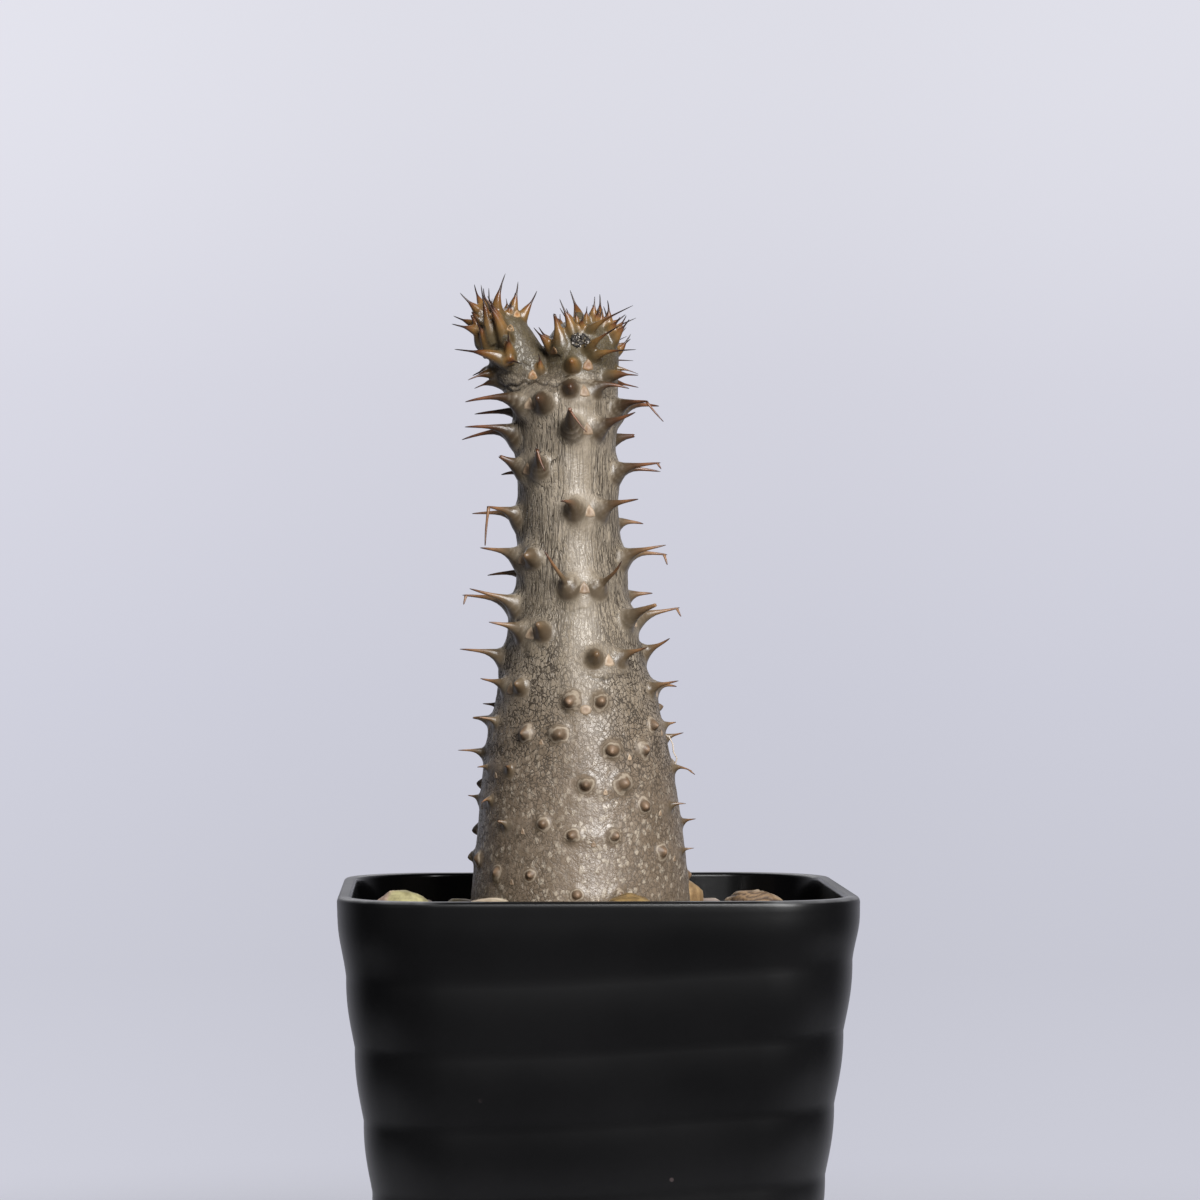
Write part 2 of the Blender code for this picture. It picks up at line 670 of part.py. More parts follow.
def build_stones(finish):
    """Every stone lies a gap above the soil."""
    rng = random.Random(STONE_SEED)
    for number, (spot, radius, height) in enumerate(settled_stones(), 1):
        name = f"stone_{number:02d}"
        mesh = stone_mesh(name, radius, height, rng)
        seat = rim_height(-SOIL_BELOW_RIM) + GAP
        mesh.transform(Matrix.Translation(Vector((*spot, seat)) * MM))
        smooth_shaded(object_from(name, mesh, finish))


def main():
    for obj in list(bpy.data.objects):
        bpy.data.objects.remove(obj)
    build_pot(material("black_ceramic", (0.012, 0.012, 0.013), 0.42))
    build_drainage_mesh(material("black_net", (0.02, 0.02, 0.02), 0.6))
    build_gravel(material("pumice", (0.55, 0.5, 0.42), 0.9))
    build_soil(material("soil", (0.09, 0.06, 0.04), 0.95))
    build_plant(material("bark", (0.33, 0.29, 0.24), 0.45))
    build_stones(material("pebble", (0.5, 0.38, 0.24), 0.8))


main()
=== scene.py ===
# A thorny pachypodium in a square black ceramic pot, dressed round its plain solid parts.
# Measures are millimetres, and the plant's heights are counted from the pot's rim.
import math
import random

import bmesh
import bpy
import numpy as np
from mathutils import Euler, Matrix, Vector, noise
from mathutils.kdtree import KDTree


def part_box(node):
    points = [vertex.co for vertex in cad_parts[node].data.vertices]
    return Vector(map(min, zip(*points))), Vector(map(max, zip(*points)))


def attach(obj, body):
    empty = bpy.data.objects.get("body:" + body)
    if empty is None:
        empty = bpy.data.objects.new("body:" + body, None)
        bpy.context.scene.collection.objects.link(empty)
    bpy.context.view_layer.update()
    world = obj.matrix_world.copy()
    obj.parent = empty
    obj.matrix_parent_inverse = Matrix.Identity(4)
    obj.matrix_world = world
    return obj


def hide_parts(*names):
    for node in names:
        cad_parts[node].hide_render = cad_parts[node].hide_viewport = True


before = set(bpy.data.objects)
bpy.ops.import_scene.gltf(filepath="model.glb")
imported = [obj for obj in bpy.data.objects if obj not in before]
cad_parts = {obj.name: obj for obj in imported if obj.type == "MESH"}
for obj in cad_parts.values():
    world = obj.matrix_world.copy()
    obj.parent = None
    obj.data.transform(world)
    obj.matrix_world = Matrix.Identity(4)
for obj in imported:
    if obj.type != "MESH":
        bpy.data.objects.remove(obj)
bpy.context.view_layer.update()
mm = 0.001
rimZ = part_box("pot")[1].z
print("stage: frame loaded")


# Small helpers

def deselectAll():
    if bpy.context.mode != "OBJECT":
        bpy.ops.object.mode_set(mode="OBJECT")
    bpy.ops.object.select_all(action="DESELECT")


def pickOnly(piece):
    deselectAll()
    piece.select_set(True)
    bpy.context.view_layer.objects.active = piece
    return piece


def applyModifiers(piece):
    pickOnly(piece)
    for modifier in list(piece.modifiers):
        bpy.ops.object.modifier_apply(modifier=modifier.name)
    return piece


def pieceFrom(name, points, faces):
    # points in metres, in the pot's frame
    mesh = bpy.data.meshes.new(name)
    mesh.from_pydata([tuple(p) for p in points], [], faces)
    mesh.update()
    piece = bpy.data.objects.new(name, mesh)
    bpy.context.scene.collection.objects.link(piece)
    return piece


def joinPieces(name, parts):
    deselectAll()
    for part in parts:
        part.select_set(True)
    bpy.context.view_layer.objects.active = parts[0]
    if len(parts) > 1:
        bpy.ops.object.join()
    parts[0].name = parts[0].data.name = name
    return parts[0]


def meshPoints(mesh):
    flat = np.empty(len(mesh.vertices) * 3, dtype=np.float32)
    mesh.vertices.foreach_get("co", flat)
    return flat.reshape(-1, 3).astype(float)


def setPoints(mesh, points):
    mesh.vertices.foreach_set("co", np.asarray(points, dtype=np.float32).ravel())
    mesh.update()


def storeNumber(mesh, name, values):
    layer = mesh.attributes.new(name, "FLOAT", "POINT")
    layer.data.foreach_set("value", np.asarray(values, dtype=np.float32))


def storeVector(mesh, name, values):
    layer = mesh.attributes.new(name, "FLOAT_VECTOR", "POINT")
    layer.data.foreach_set("vector", np.asarray(values, dtype=np.float32).ravel())


def smoothStep(low, high, value):
    t = np.clip((value - low) / (high - low), 0.0, 1.0)
    return t * t * (3 - 2 * t)


def circleAngles(count):
    return [k * math.tau / count for k in range(count)]


def setFinish(piece, material):
    piece.data.materials.clear()
    piece.data.materials.append(material)


# Node helpers, which serve materials and geometry nodes alike

def addNode(tree, kind, inputs=None, **settings):
    made = tree.nodes.new(kind)
    for name, value in settings.items():
        setattr(made, name, value)
    for name, value in (inputs or {}).items():
        if isinstance(value, bpy.types.NodeSocket):
            tree.links.new(value, made.inputs[name])
        else:
            made.inputs[name].default_value = value
    return made


def calculate(tree, operation, first, second=0.0):
    return addNode(tree, "ShaderNodeMath", {0: first, 1: second}, operation=operation).outputs[0]


def multiply(tree, first, second):
    return calculate(tree, "MULTIPLY", first, second)


def remap(tree, value, fromLow, fromHigh, toLow=0.0, toHigh=1.0):
    inputs = {"Value": value, "From Min": fromLow, "From Max": fromHigh, "To Min": toLow, "To Max": toHigh}
    return addNode(tree, "ShaderNodeMapRange", inputs, interpolation_type="SMOOTHSTEP").outputs["Result"]


def noiseField(tree, place, scale, detail=2.0, roughness=0.5):
    inputs = {"Vector": place, "Scale": scale, "Detail": detail, "Roughness": roughness}
    return addNode(tree, "ShaderNodeTexNoise", inputs).outputs[0]


def cellField(tree, place, scale, feature="F1", output="Distance"):
    cells = addNode(tree, "ShaderNodeTexVoronoi", {"Vector": place, "Scale": scale}, feature=feature)
    return cells.outputs[output]


def blendColours(tree, share, first, second, mode="MIX"):
    mix = addNode(tree, "ShaderNodeMix", data_type="RGBA", blend_type=mode)
    for socket, value in ((mix.inputs[0], share), (mix.inputs[6], first), (mix.inputs[7], second)):
        if isinstance(value, bpy.types.NodeSocket):
            tree.links.new(value, socket)
        elif isinstance(value, tuple):
            socket.default_value = (*value, 1.0)
        else:
            socket.default_value = value
    return mix.outputs[2]


def colourRamp(tree, value, stops):
    ramp = addNode(tree, "ShaderNodeValToRGB", {"Fac": value})
    while len(ramp.color_ramp.elements) < len(stops):
        ramp.color_ramp.elements.new(0.5)
    for element, (position, colour) in zip(ramp.color_ramp.elements, stops):
        element.position, element.color = position, (*colour, 1.0)
    return ramp.outputs["Color"]


def splitVector(tree, vector):
    return tuple(addNode(tree, "ShaderNodeSeparateXYZ", {0: vector}).outputs)


def scaleVector(tree, place, factors):
    return addNode(tree, "ShaderNodeVectorMath", {0: place, 1: factors}, operation="MULTIPLY").outputs[0]


def storedValue(tree, name, output="Fac"):
    return addNode(tree, "ShaderNodeAttribute", attribute_name=name).outputs[output]


def newMaterial(name, roughness, specular):
    material = bpy.data.materials.new(name)
    material.use_nodes = True
    tree = material.node_tree
    shader = tree.nodes["Principled BSDF"]
    shader.inputs["Roughness"].default_value = roughness
    shader.inputs["Specular IOR Level"].default_value = specular
    place = addNode(tree, "ShaderNodeTexCoord").outputs["Object"]
    return material, tree, shader, place


def addBump(tree, shader, height, depth, strength=1.0):
    # depth in millimetres
    bump = addNode(tree, "ShaderNodeBump", {"Height": height, "Strength": strength, "Distance": depth * mm})
    tree.links.new(bump.outputs["Normal"], shader.inputs["Normal"])


# The pot: a rounded square drawn up ring by ring, from the recess under its floor, over the lip, to the floor

pot = {
    "width": 120.0,
    "height": 115.0,
    "taper": 0.12,  # how far each side comes in for each millimetre of depth
    "cornerShare": 0.37,  # corner radius as a share of the half width
    "cornerSegments": 14,
    "sideCuts": 11,
    "smoothAngle": 50.0,
    "wall": 3.3,
    "lipRound": 1.1,
    "roundSteps": 6,  # steps round a quarter of the lip or of the foot's edge
    "innerDepths": (12.0, 30.0, 50.0, 70.0, 90.0),
    "insideRings": 10,  # as many of the last rings count as the inside, which is painted darker as shade
    "floorThickness": 5.0,
    "footRecess": 2.0,
    "footWidth": 9.0,
    "footRound": 1.5,
    "drainRadius": 6.0,
    "drainSides": 48,
    "drainCut": (30.0, 5.0),  # the cutter's height, and its middle above the ground
    "bandTops": (0.0, 17.1, 33.4, 50.3, 66.8, 83.0, 99.3),  # valleys between the bands, below the rim
    "bandBulge": 0.5,
    "bandSkew": 0.85,  # under 1 a band is fullest above its middle
    "bandSharpness": (2.2, 1.1),  # the top band's and the others'
    "ringsPerBand": 12,
    "bandTilt": 2.2,  # how far the valleys lie lower on the left than in the middle
    "bandWobble": 0.7,
    "wobbleStart": 0.6,
    "colours": ((0.0030, 0.0030, 0.0033), (0.0044, 0.0043, 0.0047)),
    "cloudScale": 22.0,
    "roughness": 0.31,
    "roughnessChange": (-0.03, 0.05),
    "gloss": 0.3,
    # the inside: painted shade, darker than the glaze outside
    "insideShadeColour": (0.0015, 0.0015, 0.0016),
    "insideRoughness": -0.11,  # added to the roughness inside
    "speckColour": (0.045, 0.034, 0.034),
    "speckScale": 70.0,
    "speckSize": (0.025, 0.045),
    "speckPatches": (30.0, 0.5, 0.58),  # scale of the patches with specks, and where they begin and are full
    "cornerHighlightColour": (0.14, 0.14, 0.145),  # a painted highlight on the lip's corners
    "highlightCorners": (45.0, 50.0),
    "wornEdge": (0.8, 0.3),  # below the rim, where the lip's painted corner highlight fades in
    "grain": (900.0, 0.02),  # scale, depth
}


def potHalf(depth):
    return pot["width"] / 2 - pot["taper"] * depth


def potStations():
    # (half width, depth below the rim, share of the bands' tilt) from the recess to the inner floor
    height, wall, lip = pot["height"], pot["wall"], pot["lipRound"]
    foot, footRound = potHalf(height), pot["footRound"]
    quarter = [math.pi / 2 * step / pot["roundSteps"] for step in range(pot["roundSteps"] + 1)]
    inner = foot - pot["footWidth"]
    stations = [(inner, height - pot["footRecess"], 0.0), (inner, height, 0.0)]
    for a in quarter:
        half = foot - footRound + footRound * math.sin(a)
        stations.append((half, height - footRound + footRound * math.cos(a), 0.0))
    bottoms = (*pot["bandTops"][1:], height - footRound)
    firstBottom = pot["bandTops"][1]
    for top, bottom in reversed(list(zip(pot["bandTops"], bottoms))):
        for step in range(pot["ringsPerBand"] - 1, -1, -1):
            share = step / pot["ringsPerBand"]
            depth = top + (bottom - top) * share
            if depth > lip:
                sharpness = pot["bandSharpness"][1 if top else 0]
                bulge = pot["bandBulge"] * math.sin(math.pi * share ** pot["bandSkew"]) ** sharpness
                tilted = min(1.0, depth / firstBottom, (height - depth) / firstBottom)
                stations.append((potHalf(depth) + bulge, depth, tilted))
    stations += [(potHalf(lip) - lip + lip * math.cos(a), lip - lip * math.sin(a), 0.0) for a in quarter]
    edge = potHalf(lip) - wall + lip
    stations += [(edge - lip * math.sin(a), lip - lip * math.cos(a), 0.0) for a in quarter]
    floorDepth = height - pot["footRecess"] - pot["floorThickness"]
    stations += [(potHalf(depth) - wall, depth, 0.0) for depth in (*pot["innerDepths"], floorDepth)]
    return stations


def tiltBands(mesh, stations):
    # each station is one ring of the mesh; the bands run a little downhill to the left, and not quite evenly
    points = meshPoints(mesh)
    ring = len(points) // len(stations)
    for number, (half, _, share) in enumerate(stations):
        part = slice(number * ring, (number + 1) * ring)
        x, y = points[part, 0], points[part, 1]
        angle = np.arctan2(y, x)
        wobble = pot["bandWobble"] * np.sin(3 * angle + pot["wobbleStart"])
        shift = share * (-pot["bandTilt"] * np.cos(angle) + wobble)
        grow = (half - pot["taper"] * shift) / half
        points[part, 0] = x * grow
        points[part, 1] = y * grow
        points[part, 2] -= shift * mm
    setPoints(mesh, points)
    inner = len(stations) - pot["insideRings"]
    storeNumber(mesh, "inside", np.arange(len(points)) >= inner * ring)


def buildPot():
    stations = potStations()
    half, depth, _ = stations[0]
    deselectAll()
    bpy.ops.mesh.primitive_plane_add(size=2 * half * mm, location=(0, 0, rimZ - depth * mm))
    piece = bpy.context.object
    piece.name = piece.data.name = "potBody"
    bpy.ops.object.transform_apply(location=True)
    bpy.ops.object.mode_set(mode="EDIT")
    bpy.ops.mesh.select_all(action="SELECT")
    bpy.ops.mesh.bevel(
        affect="VERTICES", offset=half * pot["cornerShare"] * mm, segments=pot["cornerSegments"], profile=0.5
    )
    sheet = bmesh.from_edit_mesh(piece.data)
    for edge in sheet.edges:
        edge.select = edge.calc_length() > half * mm / 2
    bmesh.update_edit_mesh(piece.data)
    bpy.ops.mesh.subdivide(number_cuts=pot["sideCuts"])
    bpy.ops.mesh.select_all(action="SELECT")
    for (lastHalf, lastDepth, _), (nextHalf, nextDepth, _) in zip(stations, stations[1:]):
        rise = (lastDepth - nextDepth) * mm
        bpy.ops.mesh.extrude_region_move(TRANSFORM_OT_translate={"value": (0, 0, rise)})
        grow = nextHalf / lastHalf
        bpy.ops.transform.resize(value=(grow, grow, 1), center_override=(0, 0, rimZ - nextDepth * mm))
    bpy.ops.mesh.select_all(action="SELECT")
    bpy.ops.mesh.normals_make_consistent(inside=False)
    bpy.ops.object.mode_set(mode="OBJECT")
    tiltBands(piece.data, stations)
    drain = piece.modifiers.new("drain", "BOOLEAN")
    cutHeight, cutMiddle = pot["drainCut"]
    deselectAll()
    bpy.ops.mesh.primitive_cylinder_add(
        vertices=pot["drainSides"], radius=pot["drainRadius"] * mm, depth=cutHeight * mm,
        location=(0, 0, cutMiddle * mm),
    )
    cutter = bpy.context.object
    drain.operation = "DIFFERENCE"
    drain.object = cutter
    applyModifiers(piece)
    bpy.data.objects.remove(cutter)
    pickOnly(piece)
    bpy.ops.object.shade_smooth_by_angle(angle=math.radians(pot["smoothAngle"]))
    return piece


def potGlaze():
    material, tree, shader, place = newMaterial("blackGlaze", pot["roughness"], pot["gloss"])
    cloudy = noiseField(tree, place, pot["cloudScale"], 3.0)
    speck = remap(tree, cellField(tree, place, pot["speckScale"]), *pot["speckSize"], 1.0, 0.0)
    patchScale, *patchReach = pot["speckPatches"]
    speck = multiply(tree, speck, remap(tree, noiseField(tree, place, patchScale), *patchReach))
    x, y, z = splitVector(tree, place)
    # worn here is a painted highlight: pale grey, patchy, on the lip's corners near the rim
    corner = calculate(tree, "ABSOLUTE", multiply(tree, x, y))
    corner = remap(tree, corner, *((far * mm) ** 2 for far in pot["highlightCorners"]))
    edge = remap(tree, z, *(rimZ - depth * mm for depth in pot["wornEdge"]))
    worn = multiply(tree, multiply(tree, corner, edge), noiseField(tree, place, 260.0))
    colour = blendColours(tree, cloudy, *pot["colours"])
    colour = blendColours(tree, speck, colour, pot["speckColour"])
    colour = blendColours(tree, worn, colour, pot["cornerHighlightColour"])
    # the inside is painted darker, as shade, and its roughness changes
    inside = storedValue(tree, "inside")
    colour = blendColours(tree, inside, colour, pot["insideShadeColour"])
    tree.links.new(colour, shader.inputs["Base Color"])
    dull = remap(tree, cloudy, 0.3, 0.7, *(pot["roughness"] + change for change in pot["roughnessChange"]))
    dull = calculate(tree, "ADD", dull, multiply(tree, inside, pot["insideRoughness"]))
    tree.links.new(dull, shader.inputs["Roughness"])
    grainScale, grainDepth = pot["grain"]
    addBump(tree, shader, noiseField(tree, place, grainScale, 3.0), grainDepth, 0.5)
    return material


potBody = buildPot()
setFinish(potBody, potGlaze())
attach(potBody, "root")
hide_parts("pot")
print("stage: pot", len(potBody.data.polygons), "faces")


# The plant: sections of its stem and branches, and tables of its thorns

plant = {
    "turn": -2.0,  # it stands turned a little in its pot
    "sections": (  # height, lean along X, radius
        (-52.0, -3.4, 6.0), (-44.0, -3.4, 13.0), (-32.0, -3.3, 22.0), (-20.0, -3.3, 26.6),
        (-3.0, -3.3, 26.0), (16.0, -3.3, 24.0), (33.0, -3.7, 21.7), (44.0, -3.8, 19.2),
        (55.0, -4.6, 16.6), (67.0, -4.8, 13.9), (79.0, -5.5, 12.5), (90.0, -6.0, 11.9),
        (100.0, -6.4, 11.8), (110.0, -6.8, 12.0), (116.0, -7.0, 12.4), (120.5, -7.2, 9.5),
        (122.5, -7.3, 4.0),
    ),
    "leftBranch": (  # height, x, radius
        (110.0, -9.0, 6.6), (118.5, -14.0, 7.0), (125.5, -18.0, 6.5),
        (130.5, -20.5, 5.8), (134.0, -21.9, 4.6), (136.6, -22.6, 2.2),
    ),
    "rightBranch": (
        (110.0, -6.0, 9.4), (117.0, -4.2, 10.2), (122.5, -3.1, 9.2),
        (127.5, -2.7, 8.7), (131.5, -2.4, 7.0), (134.4, -2.2, 3.6),
    ),
    "soilLine": -19.0,  # the fine skin starts here, and a plain root goes on below it
    "ringStep": 1.2,
    "sides": 112,
    "branchSides": 48,
    "branchCuts": 4,  # rings between two rows of a branch's table
    "rootStep": 3.0,
    "rootSides": 48,
    "rootOverlap": 1.0,
    "middleLean": -4.8,  # the stem's middle at half its height, from which directions on the bark are counted
    "fluteDepth": 0.012,
    "fluteTurn": 17.0,
    "cushions": (  # the raised ground round a pair: thorn length, extra half width, reach up and down, lift
        (2.8, 2.2, 2.2, 3.0, 0.3), (6.0, 3.0, 3.0, 4.8, 0.5), (11.5, 4.4, 4.4, 9.5, 0.8),
    ),
    "stemVoxel": 0.55,
    "crownVoxel": 0.36,
    "stemSoftening": (2.6, 10),  # how far off a thorn the bark is smoothed, and how many times
    "crownSoftening": (2.2, 8),
    "seeds": {"stem": 7, "farThorns": 5, "girths": 9, "spikes": 31, "ends": 21},
}

thornStyle = {
    "profile": (  # share of the length, radius
        (-0.22, 3.3), (-0.08, 2.9), (0.05, 2.35), (0.14, 1.85), (0.24, 1.38), (0.35, 1.0), (0.46, 0.72),
        (0.58, 0.52), (0.70, 0.40), (0.82, 0.31), (0.92, 0.21), (0.98, 0.11),
    ),
    "bluntProfile": (  # a large thorn that broke off low down
        (-0.22, 3.4), (-0.08, 3.1), (0.04, 2.7), (0.12, 2.3), (0.20, 1.85), (0.27, 1.4), (0.34, 0.95),
        (0.39, 0.55),
    ),
    "nubProfile": (  # a worn thorn low on the stem
        (-0.5, 2.1), (-0.1, 2.05), (0.08, 1.85), (0.2, 1.5), (0.3, 1.12), (0.38, 0.78), (0.44, 0.4),
    ),
    "needleProfile": (  # a thin needle on a low round mound
        (-0.22, 3.3), (-0.08, 3.1), (0.03, 2.75), (0.09, 2.25), (0.14, 1.65), (0.19, 1.05), (0.25, 0.7),
        (0.36, 0.55), (0.5, 0.47), (0.65, 0.4), (0.8, 0.32), (0.92, 0.21), (0.98, 0.1),
    ),
    "sides": 14,
    "full": 12.0,  # the length that the profile is drawn for
    "nubFull": 4.2,
    "sizePower": 0.7,  # a shorter thorn is thinner by this power of its length
    "thinnest": 0.05,
    "rootTaller": 0.3,  # a thorn's root is so much taller than wide
    "pairSpread": ((16.0, 4.9), (33.0, 4.3), (44.0, 3.3), (120.0, 3.1)),  # height, from the scar to a root
    "largeFrom": 7.0,
    "bluntEnd": 0.41,  # where a worn large thorn, a nub and a snapped thorn end, as shares of the length
    "nubEnd": 0.48,
    "snappedShare": 0.62,
    "wornTone": 1.1,  # how much further along its colours a worn thorn is
    "kneeShare": 0.9,
    "kneeEnd": 0.93,  # the needle itself ends here where a dried end hangs from it
    "kneeTip": 0.97,
    "snapStep": 0.015,
    "snapRings": (0.93, 0.55),
    "snapRagged": 0.25,
    "dryEnd": {  # the dried end: width and thickness at the knee, how much less at its end
        "sides": 6, "steps": 7, "wide": (0.42, 0.26), "thin": (0.24, 0.12), "twist": 1.6, "sway": (0.1, 0.25),
        "tip": 0.2, "along": (0.6, 0.92, 0.95),
    },
    "coneShare": 0.62,
    "coneLast": 0.85,
    "coneTrim": ((-0.2, -0.34), (0.25, -0.26), (0.6, -0.04), (1.0, 0.16)),
    "pairAngle": 36.0,  # degrees from straight out that each thorn points
    "wornAngle": 18.0,
    "wornChange": (14.0, 0.2, 0.14),  # how far worn ones differ: in angle, in rise, in size
    "rise": 0.16,
    "riseChange": 0.05,
    "riseWave": 1.7,
    "drop": 1.5,  # how far a thorn's root spreads down the stem
    "curl": (-0.05, 0.07),
    "leastForward": 0.35,  # a needle comes forward by at least this share of what its direction says
    "falls": {"h": 3.2, "d": 4.8},  # how far a hooked and a drooping end hang down
    "fallOutward": 0.35,
    "fallShare": 0.9,
    "endBack": 0.5,  # the end hangs so much nearer to the stem's front
    "crownProfile": (  # a young thorn: a long cone that ends in a needle
        (-0.22, 2.7), (-0.08, 2.5), (0.05, 2.25), (0.18, 1.98), (0.32, 1.65), (0.45, 1.22), (0.55, 0.78),
        (0.63, 0.46), (0.72, 0.34), (0.84, 0.27), (0.93, 0.2), (0.98, 0.1),
    ),
    "crownGirth": 0.88,
    "girthChange": (0.92, 1.08),
    "slimGirth": 0.46,
    "longFrom": 5.0,
    "longThinner": 0.035,  # a long crown thorn is thinner by this for each millimetre over longFrom
    "crownBend": 0.3,
    "farShift": 1.6,  # how far a thorn of the far side may stand from the mirrored place of a near one
    "spikes": 22,  # young thorns round each branch's top
    "spikeZone": 8.5,
    "spikeFree": 0.75,  # the skip below holds up to this share of the zone
    "spikeSkip": (0.35, 0.2),  # how far a direction turns to the front and to the notch before it is skipped
    "spikeLean": 1.2,
    "spikeUp": (0.7, 1.3),
    "spikeRoot": 0.9,  # share of the branch's radius
    "spikeBend": (-0.3, 0.2),
    "spikeLength": (6.2, 3.0),
    "spikeChange": 0.6,
    "spikeTurn": 0.3,
    "spikeGirth": (0.75, 1.0),
}

# Thorn length, then each pair's height, azimuth and forms: w whole, m a needle on a mound, h hooked,
# d drooping, s snapped, n a nub. In the crown, t is a thin one.
# Where a pair's needles are seen well, the ends of the left and the right one follow: x and height of the
# tip, or of the knee and then of the end that hangs from it.
whorls = (
    (8.5, ((118.3, 24, "nw", None, (8.6, 117.6)),)),
    (13.0, (
        (115.3, -36, "wn", (-30.2, 114.5), None),
        (114.0, 84, "hw", (12.4, 114.4, 16.4, 109.8), (15.9, 114.4)),
        (113.0, -150, "ww", None, (-28.5, 112.6)),
    )),
    (11.5, (
        (109.3, 25, "sw", (-4.4, 112.6, -1.6, 106.9), (10.0, 111.9)),
        (108.0, -90, "ww", (-31.4, 106.2), (-30.4, 108.8)),
        (106.5, 142, "sw", None, None),
    )),
    (11.0, (
        (100.0, -46, "sd", (-21.6, 102.4), (-12.9, 103.0, -11.2, 97.9)),
        (99.0, 90, "hw", (15.3, 100.2, 16.0, 98.9), (16.2, 98.6)),
        (98.5, -148, "ww", None, (-22.1, 98.1)),
    )),
    (11.0, (
        (90.0, 24, "ww", (-7.6, 90.8), (10.7, 91.5)),
        (88.5, -92, "wd", (-29.0, 88.6), (-24.5, 89.8, -25.4, 80.8)),
        (86.3, 135, "ww", (12.1, 86.2), None),
    )),
    (11.0, (
        (78.8, -57, "wn", (-26.8, 80.3), None),
        (78.6, 88, "wh", (17.3, 80.9), (17.1, 78.7, 17.7, 76.5)),
        (74.0, -148, "ww", None, (-25.4, 73.9)),
    )),
    (11.5, (
        (72.0, 12, "mm", (-11.6, 79.8), (6.7, 77.0)),
        (69.0, 132, "ww", (14.3, 69.6), None),
        (67.5, -84, "hw", (-30.4, 69.0, -30.8, 67.0), (-29.2, 70.6)),
    )),
    (10.5, (
        (64.0, 70, "sh", (15.4, 67.0), (19.9, 66.0, 20.8, 64.1)),
        (61.3, -39, "wn", (-24.5, 62.7), None),
        (59.5, -165, "ww", None, None),
    )),
    (9.5, (
        (56.0, 110, "wn", (18.3, 58.9), None),
        (55.0, 28, "nw", None, (12.8, 56.8)),
        (55.0, -94, "ww", None, (-31.6, 56.3)),
    )),
    (8.0, (
        (48.5, 170, "ws", None, None),
        (48.3, -54, "wn", (-26.6, 49.4), None),
        (47.5, 80, "ww", (20.2, 48.9), (20.0, 47.3)),
    )),
    (6.0, (
        (44.2, 6, "nn", None, None),
        (42.8, -122, "ww", None, (-26.4, 43.2)),
        (42.0, 125, "nw", None, None),
    )),
    (5.5, (
        (39.6, -78, "sw", (-28.3, 39.7), (-27.3, 40.4)),
        (38.4, 68, "nw", None, (19.7, 39.0)),
        (38.0, -178, "wn", None, None),
    )),
    (5.0, ((36.6, -23, "nn", None, None), (35.2, 116, "wn", None, None), (34.8, -142, "nw", None, None))),
    (5.0, (
        (33.0, 33, "nn", None, None),
        (32.0, -100, "nw", None, (-32.1, 32.3)),
        (31.0, 154, "ww", None, None),
    )),
    (4.6, (
        (28.6, -56, "ww", (-27.3, 28.5), (-20.4, 29.2)),
        (28.3, 94, "hn", (22.8, 27.6, 24.0, 26.7), None),
        (27.0, -164, "nw", None, None),
    )),
    (4.4, ((25.0, 16, "nn", None, None), (24.0, -116, "wn", None, None), (23.5, 134, "nn", None, None))),
    (4.4, (
        (21.2, -72, "ww", (-29.7, 21.6), (-26.2, 20.3)),
        (19.8, 52, "nw", None, (21.9, 20.0)),
        (19.0, 174, "nw", None, None),
    )),
    (4.0, ((15.8, -32, "sn", None, None), (15.4, 104, "wn", None, None), (13.2, -114, "wn", None, None))),
    (3.4, ((13.0, 8, "nn", None, None), (11.5, -160, "nn", None, None), (9.0, 62, "nw", None, None))),
    (3.2, ((8.5, 146, "nn", None, None), (7.0, -80, "nn", None, None), (4.0, -37, "nn", None, None))),
    (2.8, ((2.5, 106, "nn", None, None), (0.5, -138, "nn", None, None), (-0.5, 10, "nn", None, None))),
)

leftCrown = (  # root x and height, tip x and height, how far the tip comes forward, form
    (-20.9, 125.4, -32.8, 127.1, 1.0, "w"), (-24.0, 122.3, -29.7, 120.0, 3.0, "w"),
    (-25.0, 120.2, -28.3, 118.3, -2.5, "w"), (-25.6, 131.4, -33.5, 133.3, 0.5, "w"),
    (-27.2, 133.0, -33.3, 135.7, -3.5, "w"), (-26.4, 134.0, -29.7, 137.6, 2.5, "s"),
    (-26.4, 135.6, -31.6, 140.9, 0.5, "w"), (-25.8, 136.2, -28.3, 143.3, -4.0, "w"),
    (-24.6, 136.6, -26.1, 142.3, -2.0, "w"), (-20.6, 130.9, -26.2, 140.0, 5.0, "w"),
    (-23.3, 135.2, -20.7, 145.2, 1.5, "w"), (-19.9, 135.9, -17.8, 143.5, 0.5, "w"),
    (-20.4, 134.9, -18.6, 141.6, -4.0, "w"), (-17.8, 134.6, -13.3, 141.4, 0.5, "w"),
    (-19.6, 125.9, -20.0, 131.2, 3.5, "w"), (-20.6, 124.9, -16.7, 123.4, 5.0, "w"),
    (-12.6, 122.4, -12.9, 126.2, 2.5, "w"), (-23.8, 131.7, -26.4, 142.3, 3.0, "w"),
    (-26.0, 131.2, -29.7, 138.0, 3.0, "s"), (-21.8, 133.4, -24.9, 139.6, 4.0, "w"),
    (-24.6, 129.0, -27.6, 134.4, 4.0, "w"),
)
